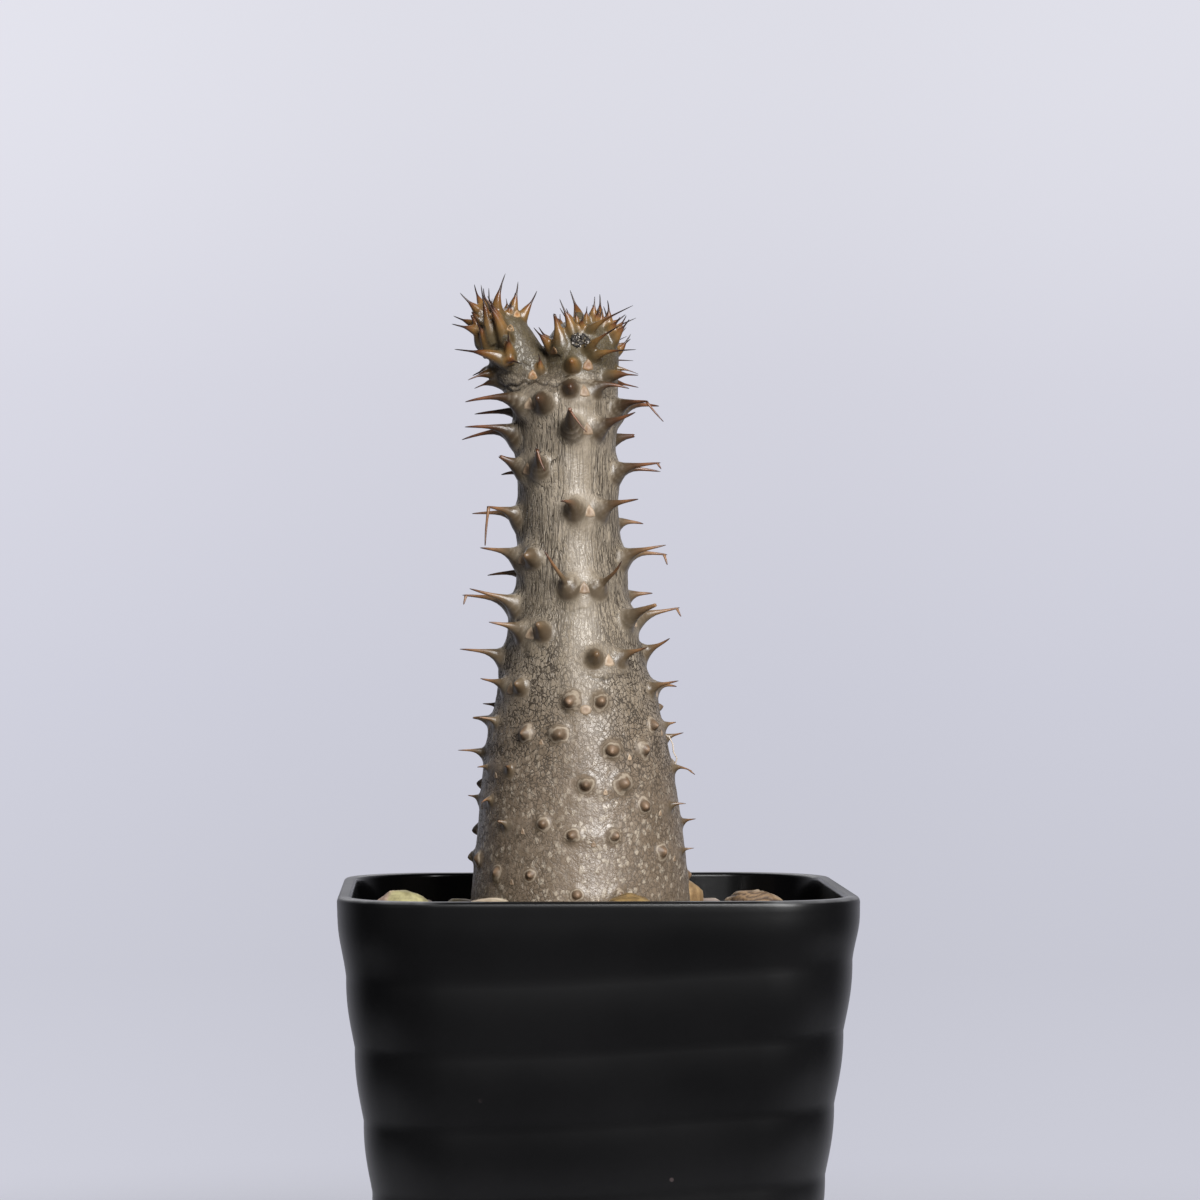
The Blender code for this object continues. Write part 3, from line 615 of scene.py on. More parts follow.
rightCrown = (
    (-9.6, 128.2, -14.0, 132.1, 4.0, "w"), (-7.2, 130.0, -9.7, 138.8, 3.0, "s"),
    (-4.4, 131.6, -7.9, 138.9, 1.5, "w"), (-2.6, 133.8, -5.5, 142.1, -2.0, "w"),
    (-0.4, 134.4, 0.4, 139.9, 0.0, "w"), (0.8, 134.0, 1.6, 141.1, -2.5, "w"),
    (3.0, 132.8, 3.4, 139.0, 1.5, "w"), (-1.0, 132.1, 9.5, 137.1, 6.0, "t"),
    (-1.0, 128.0, 7.1, 132.6, 7.5, "t"), (4.6, 130.2, 8.6, 134.3, 2.5, "w"),
    (5.4, 127.9, 9.0, 130.4, -3.0, "w"), (-4.8, 123.8, -5.2, 124.2, 8.0, "n"),
    (0.4, 126.1, 10.2, 126.6, 5.5, "t"), (5.6, 123.0, 10.8, 121.4, 0.5, "t"),
    (3.4, 121.2, 10.7, 120.7, 4.5, "w"), (-9.8, 124.6, -13.0, 127.0, -3.5, "w"),
    (-3.6, 133.4, -4.2, 136.4, 1.0, "w"), (-1.8, 134.0, -1.4, 137.4, 1.5, "w"),
    (0.4, 133.9, 1.2, 136.8, 2.0, "w"), (2.0, 133.4, 3.6, 136.4, 1.2, "w"),
    (-2.8, 132.4, -2.4, 135.0, 3.0, "w"), (3.6, 131.8, 6.4, 134.8, 3.0, "w"),
)


def toPot(points):
    # the plant's millimetres, with heights above the rim, to metres in the pot's frame
    p = np.atleast_2d(np.asarray(points, dtype=float))
    a = math.radians(plant["turn"])
    x = p[:, 0] * math.cos(a) - p[:, 1] * math.sin(a)
    y = p[:, 0] * math.sin(a) + p[:, 1] * math.cos(a)
    return np.column_stack((x, y, p[:, 2])) * mm + (0, 0, rimZ)


def toPlant(points):
    p = (np.atleast_2d(np.asarray(points, dtype=float)) - (0, 0, rimZ)) / mm
    a = -math.radians(plant["turn"])
    x = p[:, 0] * math.cos(a) - p[:, 1] * math.sin(a)
    y = p[:, 0] * math.sin(a) + p[:, 1] * math.cos(a)
    return np.column_stack((x, y, p[:, 2]))


def readSections(sections, at):
    # a smooth curve through the rows of a table whose first column rises
    if at <= sections[0][0]:
        return sections[0][1:]
    if at >= sections[-1][0]:
        return sections[-1][1:]
    i = max(k for k in range(len(sections) - 1) if sections[k][0] <= at)
    a, b = sections[i], sections[i + 1]
    before, after = sections[max(i - 1, 0)], sections[min(i + 2, len(sections) - 1)]
    span = b[0] - a[0]
    t = (at - a[0]) / span
    mixed = []
    for k in range(1, len(a)):
        slopeA = (b[k] - before[k]) / (b[0] - before[0]) * span
        slopeB = (after[k] - a[k]) / (after[0] - a[0]) * span
        mixed.append(
            (2 * t**3 - 3 * t**2 + 1) * a[k] + (t**3 - 2 * t**2 + t) * slopeA
            + (3 * t**2 - 2 * t**3) * b[k] + (t**3 - t**2) * slopeB
        )
    return mixed


def loft(name, rings, tip=None):
    # a closed skin over rings of plant points, capped at both ends or drawn to a tip
    count = len(rings[0])
    points = [tuple(p) for ring in rings for p in ring]
    faces = []
    for low in range(len(rings) - 1):
        for i in range(count):
            j = (i + 1) % count
            faces.append((low * count + i, low * count + j, (low + 1) * count + j, (low + 1) * count + i))
    faces.append(tuple(reversed(range(count))))
    last = (len(rings) - 1) * count
    if tip is None:
        faces.append(tuple(range(last, last + count)))
    else:
        points.append(tuple(tip))
        faces += [(last + i, last + (i + 1) % count, len(points) - 1) for i in range(count)]
    return pieceFrom(name, toPot(points), faces)


def facesOutward(piece):
    sheet = bmesh.new()
    sheet.from_mesh(piece.data)
    bmesh.ops.recalc_face_normals(sheet, faces=sheet.faces)
    sheet.to_mesh(piece.data)
    sheet.free()
    return piece


def cushionField(points, pairs):
    # for each plant point: how deep it lies in the raised ground round a pair, from 0 to 1, and how far that
    # ground lifts it
    depth, lift = np.zeros(len(points)), np.zeros(len(points))
    lengths, *columns = zip(*plant["cushions"])
    for height, azimuth, length, spread in pairs:
        lean, radius = readSections(plant["sections"], height)
        widen, up, down, rise = (np.interp(length, lengths, column) for column in columns)
        above = points[:, 2] - height
        angle = np.arctan2(points[:, 0] - lean, -points[:, 1]) - azimuth
        across = np.arctan2(np.sin(angle), np.cos(angle)) * radius / (spread + widen)
        here = 1 - smoothStep(0.3, 1.0, np.hypot(across, above / np.where(above > 0, up, down)))
        depth = np.maximum(depth, here)
        lift = np.maximum(lift, here * rise)
    return depth, lift


def stemRings(low, high, step, sides, pairs=()):
    steps = max(1, round((high - low) / step))
    rings = []
    for n in range(steps + 1):
        height = low + (high - low) * n / steps
        lean, radius = readSections(plant["sections"], height)
        turns = np.arange(sides) * math.tau / sides
        r = radius * (1 + plant["fluteDepth"] * np.cos(3 * turns + height / plant["fluteTurn"]))
        ring = np.column_stack((lean + r * np.cos(turns), r * np.sin(turns), np.full(sides, height)))
        _, lift = cushionField(ring, pairs)
        ring[:, 0] += lift * np.cos(turns)
        ring[:, 1] += lift * np.sin(turns)
        rings.append(ring)
    return rings


def branchRings(sections):
    # rings square to a branch's line, a few between every two rows of its table
    heights, cuts = [], plant["branchCuts"]
    for (low, *_), (high, *_) in zip(sections, sections[1:]):
        heights += [low + (high - low) * k / cuts for k in range(cuts)]
    heights.append(sections[-1][0])
    rows = [(height, *readSections(sections, height)) for height in heights]
    middles = [Vector((x, 0.0, height)) for height, x, _ in rows]
    rings = []
    for i, (middle, row) in enumerate(zip(middles, rows)):
        along = (middles[min(i + 1, len(middles) - 1)] - middles[max(i - 1, 0)]).normalized()
        across = along.cross(Vector((0, 1, 0))).normalized()
        turns = circleAngles(plant["branchSides"])
        rings.append([middle + row[2] * (across * math.cos(a) + Vector((0, math.sin(a), 0))) for a in turns])
    return rings


def sizeFor(length, full):
    return min(1.0, length / full) ** thornStyle["sizePower"]


def thornPlan(root, out, up, length, form, girth, curl=0.0, end=None, tip=None):
    # everything that is needed to draw one thorn, and the cone under it
    profile, full, last, tone = thornStyle["profile"], thornStyle["full"], 1.0, 1.0
    if form == "n":
        tone = thornStyle["wornTone"]
    if form == "n" and length > thornStyle["largeFrom"]:
        profile, last = thornStyle["bluntProfile"], thornStyle["bluntEnd"]
    elif form == "n":
        profile, full, last = thornStyle["nubProfile"], thornStyle["nubFull"], thornStyle["nubEnd"]
    elif form == "m":
        profile = thornStyle["needleProfile"]
    elif form == "s":
        last = thornStyle["snappedShare"]
    return {
        "root": root, "out": out, "up": up, "length": length, "form": form, "curl": curl, "end": end,
        "tip": tip, "size": girth * sizeFor(length, full), "profile": profile, "last": last, "tone": tone,
        "worn": 1.0 if profile is thornStyle["nubProfile"] else 0.0,
    }


def thornSpot(thorn, share):
    # a point on the thorn's middle line, which leaves the stem along out and bends towards its tip
    ahead = max(share, 0.0)
    sink = thornStyle["drop"] * thorn["size"] * max(0.0, 1 - 2 * ahead) ** 2 * (1 - thorn["worn"])
    line = thorn["root"] + thorn["out"] * share * thorn["length"]
    if thorn["tip"] is not None and share > 0:
        middle = thorn["root"] + thorn["out"] * thorn["length"] * 0.5
        rest = 1 - share
        line = thorn["root"] * rest**2 + middle * 2 * share * rest + thorn["tip"] * share**2
    return line + thorn["up"] * (thorn["curl"] * thorn["length"] * ahead**2 - sink)


def thornCourse(thorn, share):
    # the direction of the middle line
    if thorn["tip"] is None:
        return thorn["out"]
    along = min(max(share, 0.0), 1.0)
    half = thorn["out"] * thorn["length"] * 0.5
    return (half * (1 - along) + (thorn["tip"] - thorn["root"] - half) * along).normalized()


def thornRing(thorn, share, radius, trim=0.0):
    middle, course, size = thornSpot(thorn, share), thornCourse(thorn, share), thorn["size"]
    tall = 1 + thornStyle["rootTaller"] * max(0.0, 1 - 2 * max(share, 0.0)) * (1 - thorn["worn"])
    side = course.cross(thorn["up"]).normalized()
    across = side * max(radius * size - trim, thornStyle["thinnest"])
    over = side.cross(course) * max(radius * size * tall - trim, thornStyle["thinnest"])
    return [middle + across * math.cos(a) + over * math.sin(a) for a in circleAngles(thornStyle["sides"])]


def thornCone(thorn):
    # the lower part of the thorn, which is melted into the bark: wider than the thorn at its root
    reach = min(thornStyle["coneShare"], thorn["last"] * thornStyle["coneLast"])
    rings = []
    for share, radius in thorn["profile"]:
        if share < reach:
            trim = np.interp(share / reach, *zip(*thornStyle["coneTrim"])) * thorn["size"]
            rings.append(thornRing(thorn, share, radius, trim))
    return facesOutward(loft("cone", rings))


def hangingEnd(thorn, start, rng):
    # the dried end of a needle: it hangs from the knee to its end, thin and a little twisted
    style = thornStyle["dryEnd"]
    across = thornCourse(thorn, 1.0).cross(Vector((0, 0, 1))).normalized() * rng.uniform(*style["sway"])
    rings = []
    for n in range(style["steps"] + 1):
        t = n / style["steps"]
        middle = start.lerp(thorn["end"], t) + across * math.sin(math.pi * t)
        wide, thin = (first - less * t for first, less in (style["wide"], style["thin"]))
        turns = [a + style["twist"] * t for a in circleAngles(style["sides"])]
        rings.append([middle + Vector((math.cos(a) * wide, math.sin(a) * thin, 0)) for a in turns])
    return rings


def perRing(values, sides, last):
    # one value for each ring of a skin, and one for its tip
    return np.append(np.repeat(values, sides), last)


def storeThorn(piece, along, worn, girth):
    # the share of the thorn's length, whether it is worn, and its radius, which the bark's colours follow
    storeNumber(piece.data, "along", along)
    storeNumber(piece.data, "worn", np.full(len(along), worn))
    storeNumber(piece.data, "girth", girth)


def thornSkin(thorn, rng):
    # the whole visible thorn, and the dried end that hangs from it
    rows, end, last, sides = thorn["profile"], thorn["end"], thorn["last"], thornStyle["sides"]
    snapped = thorn["form"] == "s"
    knee = end is not None and not snapped
    rows = [row for row in rows if row[0] < (thornStyle["kneeEnd"] if knee else last)]
    if snapped:
        shoulder, rim = (rows[-1][1] * share for share in thornStyle["snapRings"])
        rows += [(last, shoulder), (last + thornStyle["snapStep"], rim)]
    rings = [thornRing(thorn, share, radius) for share, radius in rows]
    if snapped:
        ragged = thornStyle["snapRagged"]
        rings[-1] = [spot + thorn["out"] * rng.uniform(-ragged, ragged) for spot in rings[-1]]
    tipShare = last - 0.01 if snapped else thornStyle["kneeTip"] if knee else last
    piece = facesOutward(loft("thorn", rings, thornSpot(thorn, tipShare)))
    along = perRing([share for share, _ in rows], sides, tipShare) * thorn["tone"]
    storeThorn(piece, along, thorn["worn"], perRing([radius for _, radius in rows], sides, 0.0))
    if end is None:
        return [piece]
    style = thornStyle["dryEnd"]
    start = thornSpot(thorn, last - 0.03 if snapped else thornStyle["kneeShare"])
    rings = hangingEnd(thorn, start, rng)
    dry = facesOutward(loft("dryEnd", rings, end + (end - start).normalized() * style["tip"]))
    first, final, tip = style["along"]
    along = perRing(np.linspace(first, final, len(rings)), style["sides"], tip)
    storeThorn(dry, along, 0.0, np.zeros(len(along)))
    return [piece, dry]


def stemThornPlans():
    rng = random.Random(plant["seeds"]["stem"])
    plans, pairs = [], []
    for length, whorl in whorls:
        for height, azimuth, forms, *ends in whorl:
            lean, radius = readSections(plant["sections"], height)
            spread = np.interp(height, *zip(*thornStyle["pairSpread"]))
            pairs.append((height, math.radians(azimuth), length, spread))
            for side, form, end in zip((-1, 1), forms, ends or (None, None)):
                at = math.radians(azimuth) + side * math.asin(spread / radius)
                root = Vector((lean + radius * math.sin(at), -radius * math.cos(at), height))
                worn = form == "n"
                facing = azimuth + side * thornStyle["wornAngle" if worn else "pairAngle"]
                wave = math.sin(height * thornStyle["riseWave"] + side)
                rise = thornStyle["rise"] + thornStyle["riseChange"] * wave
                girth = 1.0
                if worn:
                    turn, lift, change = (rng.uniform(-1, 1) * most for most in thornStyle["wornChange"])
                    facing, rise, girth = facing + turn, lift, 1.0 + change
                facing = math.radians(facing)
                out = Vector((math.sin(facing), -math.cos(facing), rise)).normalized()
                plans.append(stemThornPlan(root, out, length, form, end, rng, girth))
    return plans, pairs


def stemThornPlan(root, out, length, form, end, rng, girth):
    # a needle whose end is seen in the photograph bends towards it
    reach, hanging, tip = length, None, None
    knee = thornStyle["kneeShare"]
    if end is not None:
        acrossEnd, upEnd = end[0] - root.x, end[1] - root.z
        room = math.sqrt(max(length**2 - acrossEnd**2 - upEnd**2, 0.0))
        forward = out.y * length
        forward *= min(1.0, max(room / max(abs(forward), 0.01), thornStyle["leastForward"]))
        seen = thornStyle["snappedShare"] if form == "s" else knee if len(end) == 4 else 1.0
        tip = root + Vector((acrossEnd, forward, upEnd)) / seen
        reach = (tip - root).length
        if len(end) == 4:
            hanging = Vector((end[2], root.y + forward - thornStyle["endBack"], end[3]))
    elif form in thornStyle["falls"]:
        hanging = root + out * reach * knee
        fall = thornStyle["falls"][form] * thornStyle["fallShare"]
        hanging += (out * thornStyle["fallOutward"] - Vector((0, 0, 1))) * fall
    up = (Vector((0, 0, 1)) - out * out.z).normalized()
    curl = rng.uniform(*thornStyle["curl"]) if tip is None else 0.0
    plan = thornPlan(root, out, up, reach, form, 1.0, curl, hanging, tip)
    plan["size"] = girth * sizeFor(length, thornStyle["nubFull"] if plan["worn"] else thornStyle["full"])
    return plan


def crownThornPlan(sections, row, rng, far=False):
    rootX, rootHeight, tipX, tipHeight, forward, form = row
    middle, radius = readSections(sections, rootHeight)
    offset = max(-radius, min(radius, rootX - middle))
    depth = math.sqrt(radius**2 - offset**2) * (1 if far or forward < 0 else -1)
    root = Vector((middle + offset, depth, rootHeight))
    tip = Vector((tipX, depth + (forward if far else -forward), tipHeight))
    course = (tip - root).normalized()
    away = (root - Vector((middle, 0, rootHeight - 1.0))).normalized()
    out = (course * (1 - thornStyle["crownBend"]) + away * thornStyle["crownBend"]).normalized()
    up = Vector((0, 0, 1)) if abs(out.z) < 0.8 else Vector((math.copysign(1, -out.x), 0, 0))
    up = (up - out * out.dot(up)).normalized()
    length = (tip - root).length
    girth = thornStyle["slimGirth"] if form == "t" else thornStyle["crownGirth"]
    if form == "w":
        girth *= 1 - thornStyle["longThinner"] * max(length - thornStyle["longFrom"], 0.0)
    girth *= rng.uniform(*thornStyle["girthChange"])
    plan = thornPlan(root, out, up, length, form, girth, tip=tip)
    if form == "w":
        plan["profile"] = thornStyle["crownProfile"]
    return plan


def crownThornPlans(sections, rows):
    shiftRng, girthRng = (random.Random(plant["seeds"][name]) for name in ("farThorns", "girths"))
    plans = [crownThornPlan(sections, row, girthRng) for row in rows]
    for *places, form in rows:
        if places[4] > 1.0:
            shifted = [value + shiftRng.uniform(-1, 1) * thornStyle["farShift"] for value in places]
            plans.append(crownThornPlan(sections, (*shifted, form), girthRng, far=True))
    return plans


def crownSpikes(sections, notchSide, rng):
    # young thorns that turn round the branch's top by the golden angle, shorter towards its tip; low down
    # none grow in front, where the table has them all, or towards the notch
    plans = []
    top, turn, change = sections[-1][0], thornStyle["spikeTurn"], thornStyle["spikeChange"]
    (longest, shortest), (front, inner) = thornStyle["spikeLength"], thornStyle["spikeSkip"]
    for number in range(thornStyle["spikes"]):
        share = (number + 0.5) / thornStyle["spikes"]
        height = top - thornStyle["spikeZone"] * (1 - share)
        middle, radius = readSections(sections, height)
        at = number * math.pi * (3 - math.sqrt(5)) + rng.uniform(-turn, turn)
        outward = Vector((math.cos(at), math.sin(at), 0))
        if share < thornStyle["spikeFree"] and (outward.y < -front or outward.x * notchSide > inner):
            continue
        rise = Vector((0, 0, rng.uniform(*thornStyle["spikeUp"])))
        out = (outward * (thornStyle["spikeLean"] - share) + rise).normalized()
        length = longest + (shortest - longest) * share + rng.uniform(-change, change)
        root = Vector((middle, 0, height)) + outward * radius * thornStyle["spikeRoot"]
        up = (outward - out * out.dot(outward)).normalized()
        tip = root + (out + outward * rng.uniform(*thornStyle["spikeBend"])).normalized() * length
        plan = thornPlan(root, out, up, length, "w", rng.uniform(*thornStyle["spikeGirth"]), tip=tip)
        plan["profile"] = thornStyle["crownProfile"]
        plans.append(plan)
    return plans


def meltTogether(name, parts, voxel):
    # one skin over all the parts, which cross each other
    piece = joinPieces(name, parts)
    pickOnly(piece)
    piece.data.remesh_voxel_size = voxel * mm
    piece.data.use_remesh_fix_poles = False
    piece.data.use_remesh_preserve_volume = False
    bpy.ops.object.voxel_remesh()
    return piece


def nearestThorns(points, plans):
    # for each plant point: the share along its nearest thorn, how far off that thorn's surface it lies, and
    # that thorn's number
    samples = []
    for number, thorn in enumerate(plans):
        shares, radii = zip(*thorn["profile"])
        for share in np.linspace(-0.1, min(0.7, thorn["last"] * 0.9), 9):
            radius = np.interp(share, shares, radii) * thorn["size"]
            samples.append((thornSpot(thorn, share), number, radius))
    tree = KDTree(len(samples))
    for index, (spot, _, _) in enumerate(samples):
        tree.insert(spot, index)
    tree.balance()
    found = np.array([tree.find(p)[1:] for p in points.tolist()])
    index = found[:, 0].astype(int)
    owner = np.array([number for _, number, _ in samples])[index]
    radii = np.array([radius for _, _, radius in samples])[index]
    root, out = (np.array([thorn[name] for thorn in plans])[owner] for name in ("root", "out"))
    length = np.array([thorn["length"] for thorn in plans])[owner]
    return ((points - root) * out).sum(axis=1) / length, found[:, 1] - radii, owner


def fromMiddle(points, plans, owner):
    # for each plant point: how far it lies from its thorn's straight middle line, for a thorn of full size
    root, out = (np.array([thorn[name] for thorn in plans])[owner] for name in ("root", "out"))
    size = np.array([thorn["size"] for thorn in plans])[owner]
    apart = points - root
    return np.linalg.norm(apart - out * (apart * out).sum(axis=1)[:, None], axis=1) / size


def softenJoints(piece, plans, near, rounds):
    # smooths only where thorns leave the bark, and then a little all over
    points = toPlant(meshPoints(piece.data))
    _, off, _ = nearestThorns(points, plans)
    group = piece.vertex_groups.new(name="joints")
    weights = 1.0 - smoothStep(near * 0.4, near, off)
    for index in np.nonzero(weights > 0.02)[0].tolist():
        group.add([index], float(weights[index]), "REPLACE")
    soften = piece.modifiers.new("soften", "SMOOTH")
    soften.factor, soften.iterations, soften.vertex_group = 0.5, rounds, "joints"
    even = piece.modifiers.new("even", "SMOOTH")
    even.factor, even.iterations = 0.5, 3
    applyModifiers(piece)
    piece.vertex_groups.clear()


bark = {
    "cellSize": 0.95,
    "swaySeed": 5,
    # each of these is a table of height and value
    "stretch": (
        (-60.0, 1.3), (22.0, 1.3), (36.0, 1.25), (52.0, 1.7), (62.0, 3.0), (74.0, 4.2), (113.0, 4.2),
        (119.0, 1.2), (140.0, 1.2),
    ),
    "rough": (
        (-60.0, 0.55), (4.0, 0.5), (20.0, 0.55), (34.0, 0.9), (54.0, 1.0), (66.0, 0.45), (112.0, 0.3),
        (120.0, 0.7), (132.0, 0.45), (140.0, 0.3),
    ),
    "fissures": (
        (-60.0, 0.0), (30.0, 0.0), (46.0, 0.4), (60.0, 0.9), (74.0, 1.0), (112.0, 1.0), (119.0, 0.8),
        (128.0, 0.3),
    ),
    "spots": (
        (-60.0, 1.0), (12.0, 1.0), (26.0, 0.7), (40.0, 0.4), (56.0, 0.2), (66.0, 0.0), (116.0, 0.0),
        (124.0, 0.15),
    ),
    # height, from x, to x and strength of a growth line on the near side
    "creases": (
        (49.7, -2.0, 8.0, 0.5), (32.2, 2.0, 12.0, 0.4), (118.9, -26.0, 0.0, 1.0), (117.3, -22.0, -6.0, 0.5),
        (120.9, -24.0, -13.0, 0.5), (115.4, -8.0, 6.0, 0.4), (121.2, -9.0, 3.0, 0.5), (119.3, -3.0, 7.0, 0.6),
        (123.0, -22.0, -12.0, 0.35), (27.0, -12.0, 6.0, 0.25), (65.6, -14.0, 0.0, 0.25),
    ),
    "heights": (-60.0, 145.0),  # all of the bark lies between these
    "sway": (9.0, 0.75),  # size of the slow bends in the pattern, and how far they go
    "highlightSide": 8.0,  # the cracks are fainter at this azimuth, where the key light's highlight falls, and behind: partly the bark's own smoother front, partly painted highlight, with the sides left darker as painted shade
    "highlightCrackFade": 0.6,
    "besideStep": 0.22,
    "bends": ((0.7, 1.2), (2.4, 0.5)),  # scale and reach of the bends in the cells' walls
    "patchScale": 0.3,
    "cellWalls": (0.06, 0.17),  # how thick they are, from patch to patch
    "lines": ((0.75, 1.0, 1.0), (1.3, 0.6, 0.7)),  # scale, thickness and strength of the upright lines
    "lineThickness": (0.13, 0.27),
    "lineStretch": (1.0, 1.0, 0.36),
    "leastSlope": 0.004,
    "spotScale": 0.72,
    "spotSize": (0.28, 0.52),
    "spotShare": (0.2, 0.7),
    "crackDepth": 0.04,
    "spotRise": 0.03,
    "unevenScale": 0.45,
    "unevenDepth": 0.16,
    "creaseDepth": 0.5,
    "creaseWidth": 0.36,
    "creaseEnd": 2.0,
    "calmOff": (0.2, 1.0),  # how far off a thorn the skin is still smooth, and where it is all bark
    "calmWorn": (2.0, 2.4),  # the same for worn thorns, from their middle line
    "lowGround": (0.200, 0.153, 0.111),
    "highGround": (0.290, 0.243, 0.186),
    "crownGround": (0.100, 0.078, 0.043),
    "upperFrom": (24.0, 64.0),  # the high ground's colour begins and is full here
    "topFrom": (80.0, 106.0),  # and the high thorns' colours here
    "crownFrom": (119.0, 124.0),
    "gloss": 0.5,
    "roughness": (0.29, 0.42),
    "crackColour": (0.030, 0.020, 0.011),
    "spotColour": (0.345, 0.290, 0.225),
    "dirt": (0.58, 0.55, 0.50),  # multiplies the ground's colour
    "streaks": (0.55, 0.48, 0.42),  # multiplies the thorns'
    "noises": {"mottle": (160.0, 4.0, 0.6), "fine": (900.0, 3.0, 0.6), "broad": (45.0, 2.0)},
    # where each of those noises begins and ends, and the share of dirt at both
    "dirty": (
        ("broad", 0.35, 0.65, 0.0, 0.4), ("mottle", 0.35, 0.7, 0.4, 0.0), ("fine", 0.3, 0.55, 0.5, 0.0),
    ),
    "wornReach": 2.5,  # the ring colours below run out to here
    "wornEdge": (2.15, 2.4),
    "wornGround": 4.0,  # a worn thorn's colours are looked for no farther off
    # colours along a thorn, from its root to its tip
    "lowThorn": (
        (0.0, (0.125, 0.100, 0.070)), (0.3, (0.120, 0.086, 0.052)), (0.5, (0.165, 0.098, 0.050)),
        (0.7, (0.230, 0.120, 0.056)), (0.88, (0.130, 0.064, 0.036)), (1.0, (0.040, 0.025, 0.018)),
    ),
    "highThorn": (
        (0.0, (0.088, 0.066, 0.042)), (0.25, (0.060, 0.040, 0.023)), (0.5, (0.066, 0.031, 0.016)),
        (0.7, (0.165, 0.066, 0.029)), (0.88, (0.090, 0.037, 0.022)), (1.0, (0.025, 0.016, 0.014)),
    ),
    "crownThorn": (
        (0.0, (0.070, 0.048, 0.022)), (0.14, (0.120, 0.073, 0.028)), (0.32, (0.195, 0.104, 0.034)),
        (0.5, (0.140, 0.056, 0.020)), (0.62, (0.046, 0.022, 0.015)), (1.0, (0.014, 0.012, 0.013)),
    ),
    # colours round a worn thorn, from its middle outwards
    "wornRings": (
        (0.0, (0.260, 0.170, 0.110)), (0.1, (0.170, 0.105, 0.060)), (0.4, (0.105, 0.066, 0.038)),
        (0.54, (0.160, 0.116, 0.078)), (0.64, (0.290, 0.238, 0.178)), (0.76, (0.250, 0.200, 0.148)),
        (0.82, (0.120, 0.088, 0.058)), (1.0, (0.150, 0.112, 0.076)),
    ),
}


def patternPlaces(points):
    # where each plant point lies in the bark's pattern, whose cells are longer where the table stretches them
    table = np.linspace(*bark["heights"], 800)
    steps = np.diff(table) / np.interp(table[1:], *zip(*bark["stretch"]))
    upward = np.interp(points[:, 2], table, np.concatenate(([0.0], np.cumsum(steps))))
    size, reach = bark["sway"]
    noise.seed_set(bark["swaySeed"])  # without a seed the vectors differ from run to run
    sway = np.array([noise.noise_vector(Vector(p) / size) for p in points.tolist()])
    return np.column_stack((points[:, 0], points[:, 1], upward)) / bark["cellSize"] + sway * reach


def barkAttributes(piece, plans, pairs):
    # what the relief and the material read: the pattern's place, and how strong each of its parts is
    points = toPlant(meshPoints(piece.data))
    heights, acrossMiddle = points[:, 2], points[:, 0] - plant["middleLean"]
    place = patternPlaces(points)
    storeVector(piece.data, "place", place)
    around = np.column_stack((-points[:, 1], acrossMiddle, np.zeros(len(points))))
    around /= np.maximum(np.linalg.norm(around, axis=1), 0.01)[:, None]
    storeVector(piece.data, "beside", place + around * bark["besideStep"])
    along, off, owner = nearestThorns(points, plans)
    cushioned, _ = cushionField(points, pairs)
    tone, worn = (np.array([thorn[name] for thorn in plans])[owner] for name in ("tone", "worn"))
    girth = fromMiddle(points, plans, owner)
    # calm from 0 to 1: smooth skin on thorns and near them
    calm = (1.0 - smoothStep(*bark["calmOff"], off)) * (1.0 - worn)
    calm += (1.0 - smoothStep(*bark["calmWorn"], girth)) * worn
    calm = np.maximum(calm, smoothStep(0.2, 0.9, cushioned) * (0.5 - 0.4 * worn))
    # cracks fade round the highlight's azimuth and behind and stay full at the sides: partly the bark's own
    # pattern, partly painted highlight and painted shade
    turned = np.arctan2(acrossMiddle, -points[:, 1]) - math.radians(bark["highlightSide"])
    sides = 1.0 - bark["highlightCrackFade"] * (1.0 - smoothStep(0.08, 0.45, np.abs(np.sin(turned))))
    for name in ("rough", "fissures", "spots"):
        strength = np.interp(heights, *zip(*bark[name])) * (1.0 if name == "spots" else sides)
        storeNumber(piece.data, name, (1.0 - calm) * strength)
    storeNumber(piece.data, "calm", calm)
    storeNumber(piece.data, "crease", creaseField(points, calm))
    storeNumber(piece.data, "along", np.clip(along * tone, 0, 1) * (off < 1.5))
    storeNumber(piece.data, "worn", worn)
    storeNumber(piece.data, "girth", girth)
    mound = 1.0 - smoothStep(0.0, 0.9, off)
    storeNumber(piece.data, "mound", mound * (1.0 - worn) + (girth < bark["wornGround"]) * worn)


def creaseField(points, calm):
    x, y, heights = points.T
    crease, end = np.zeros(len(points)), bark["creaseEnd"]
    for height, fromX, toX, strength in bark["creases"]:
        wave = 0.5 * np.sin(x * 0.6 + height * 5) + 0.25 * np.sin(x * 2.1 + height * 3)
        line = np.exp(-(((heights - height - wave) / bark["creaseWidth"]) ** 2)) * strength
        front = smoothStep(fromX - end, fromX + end, x) * (1 - smoothStep(toX - end, toX + end, x)) * (y < 0)
        crease = np.maximum(crease, line * front * (1 - calm * 0.7))
    return crease


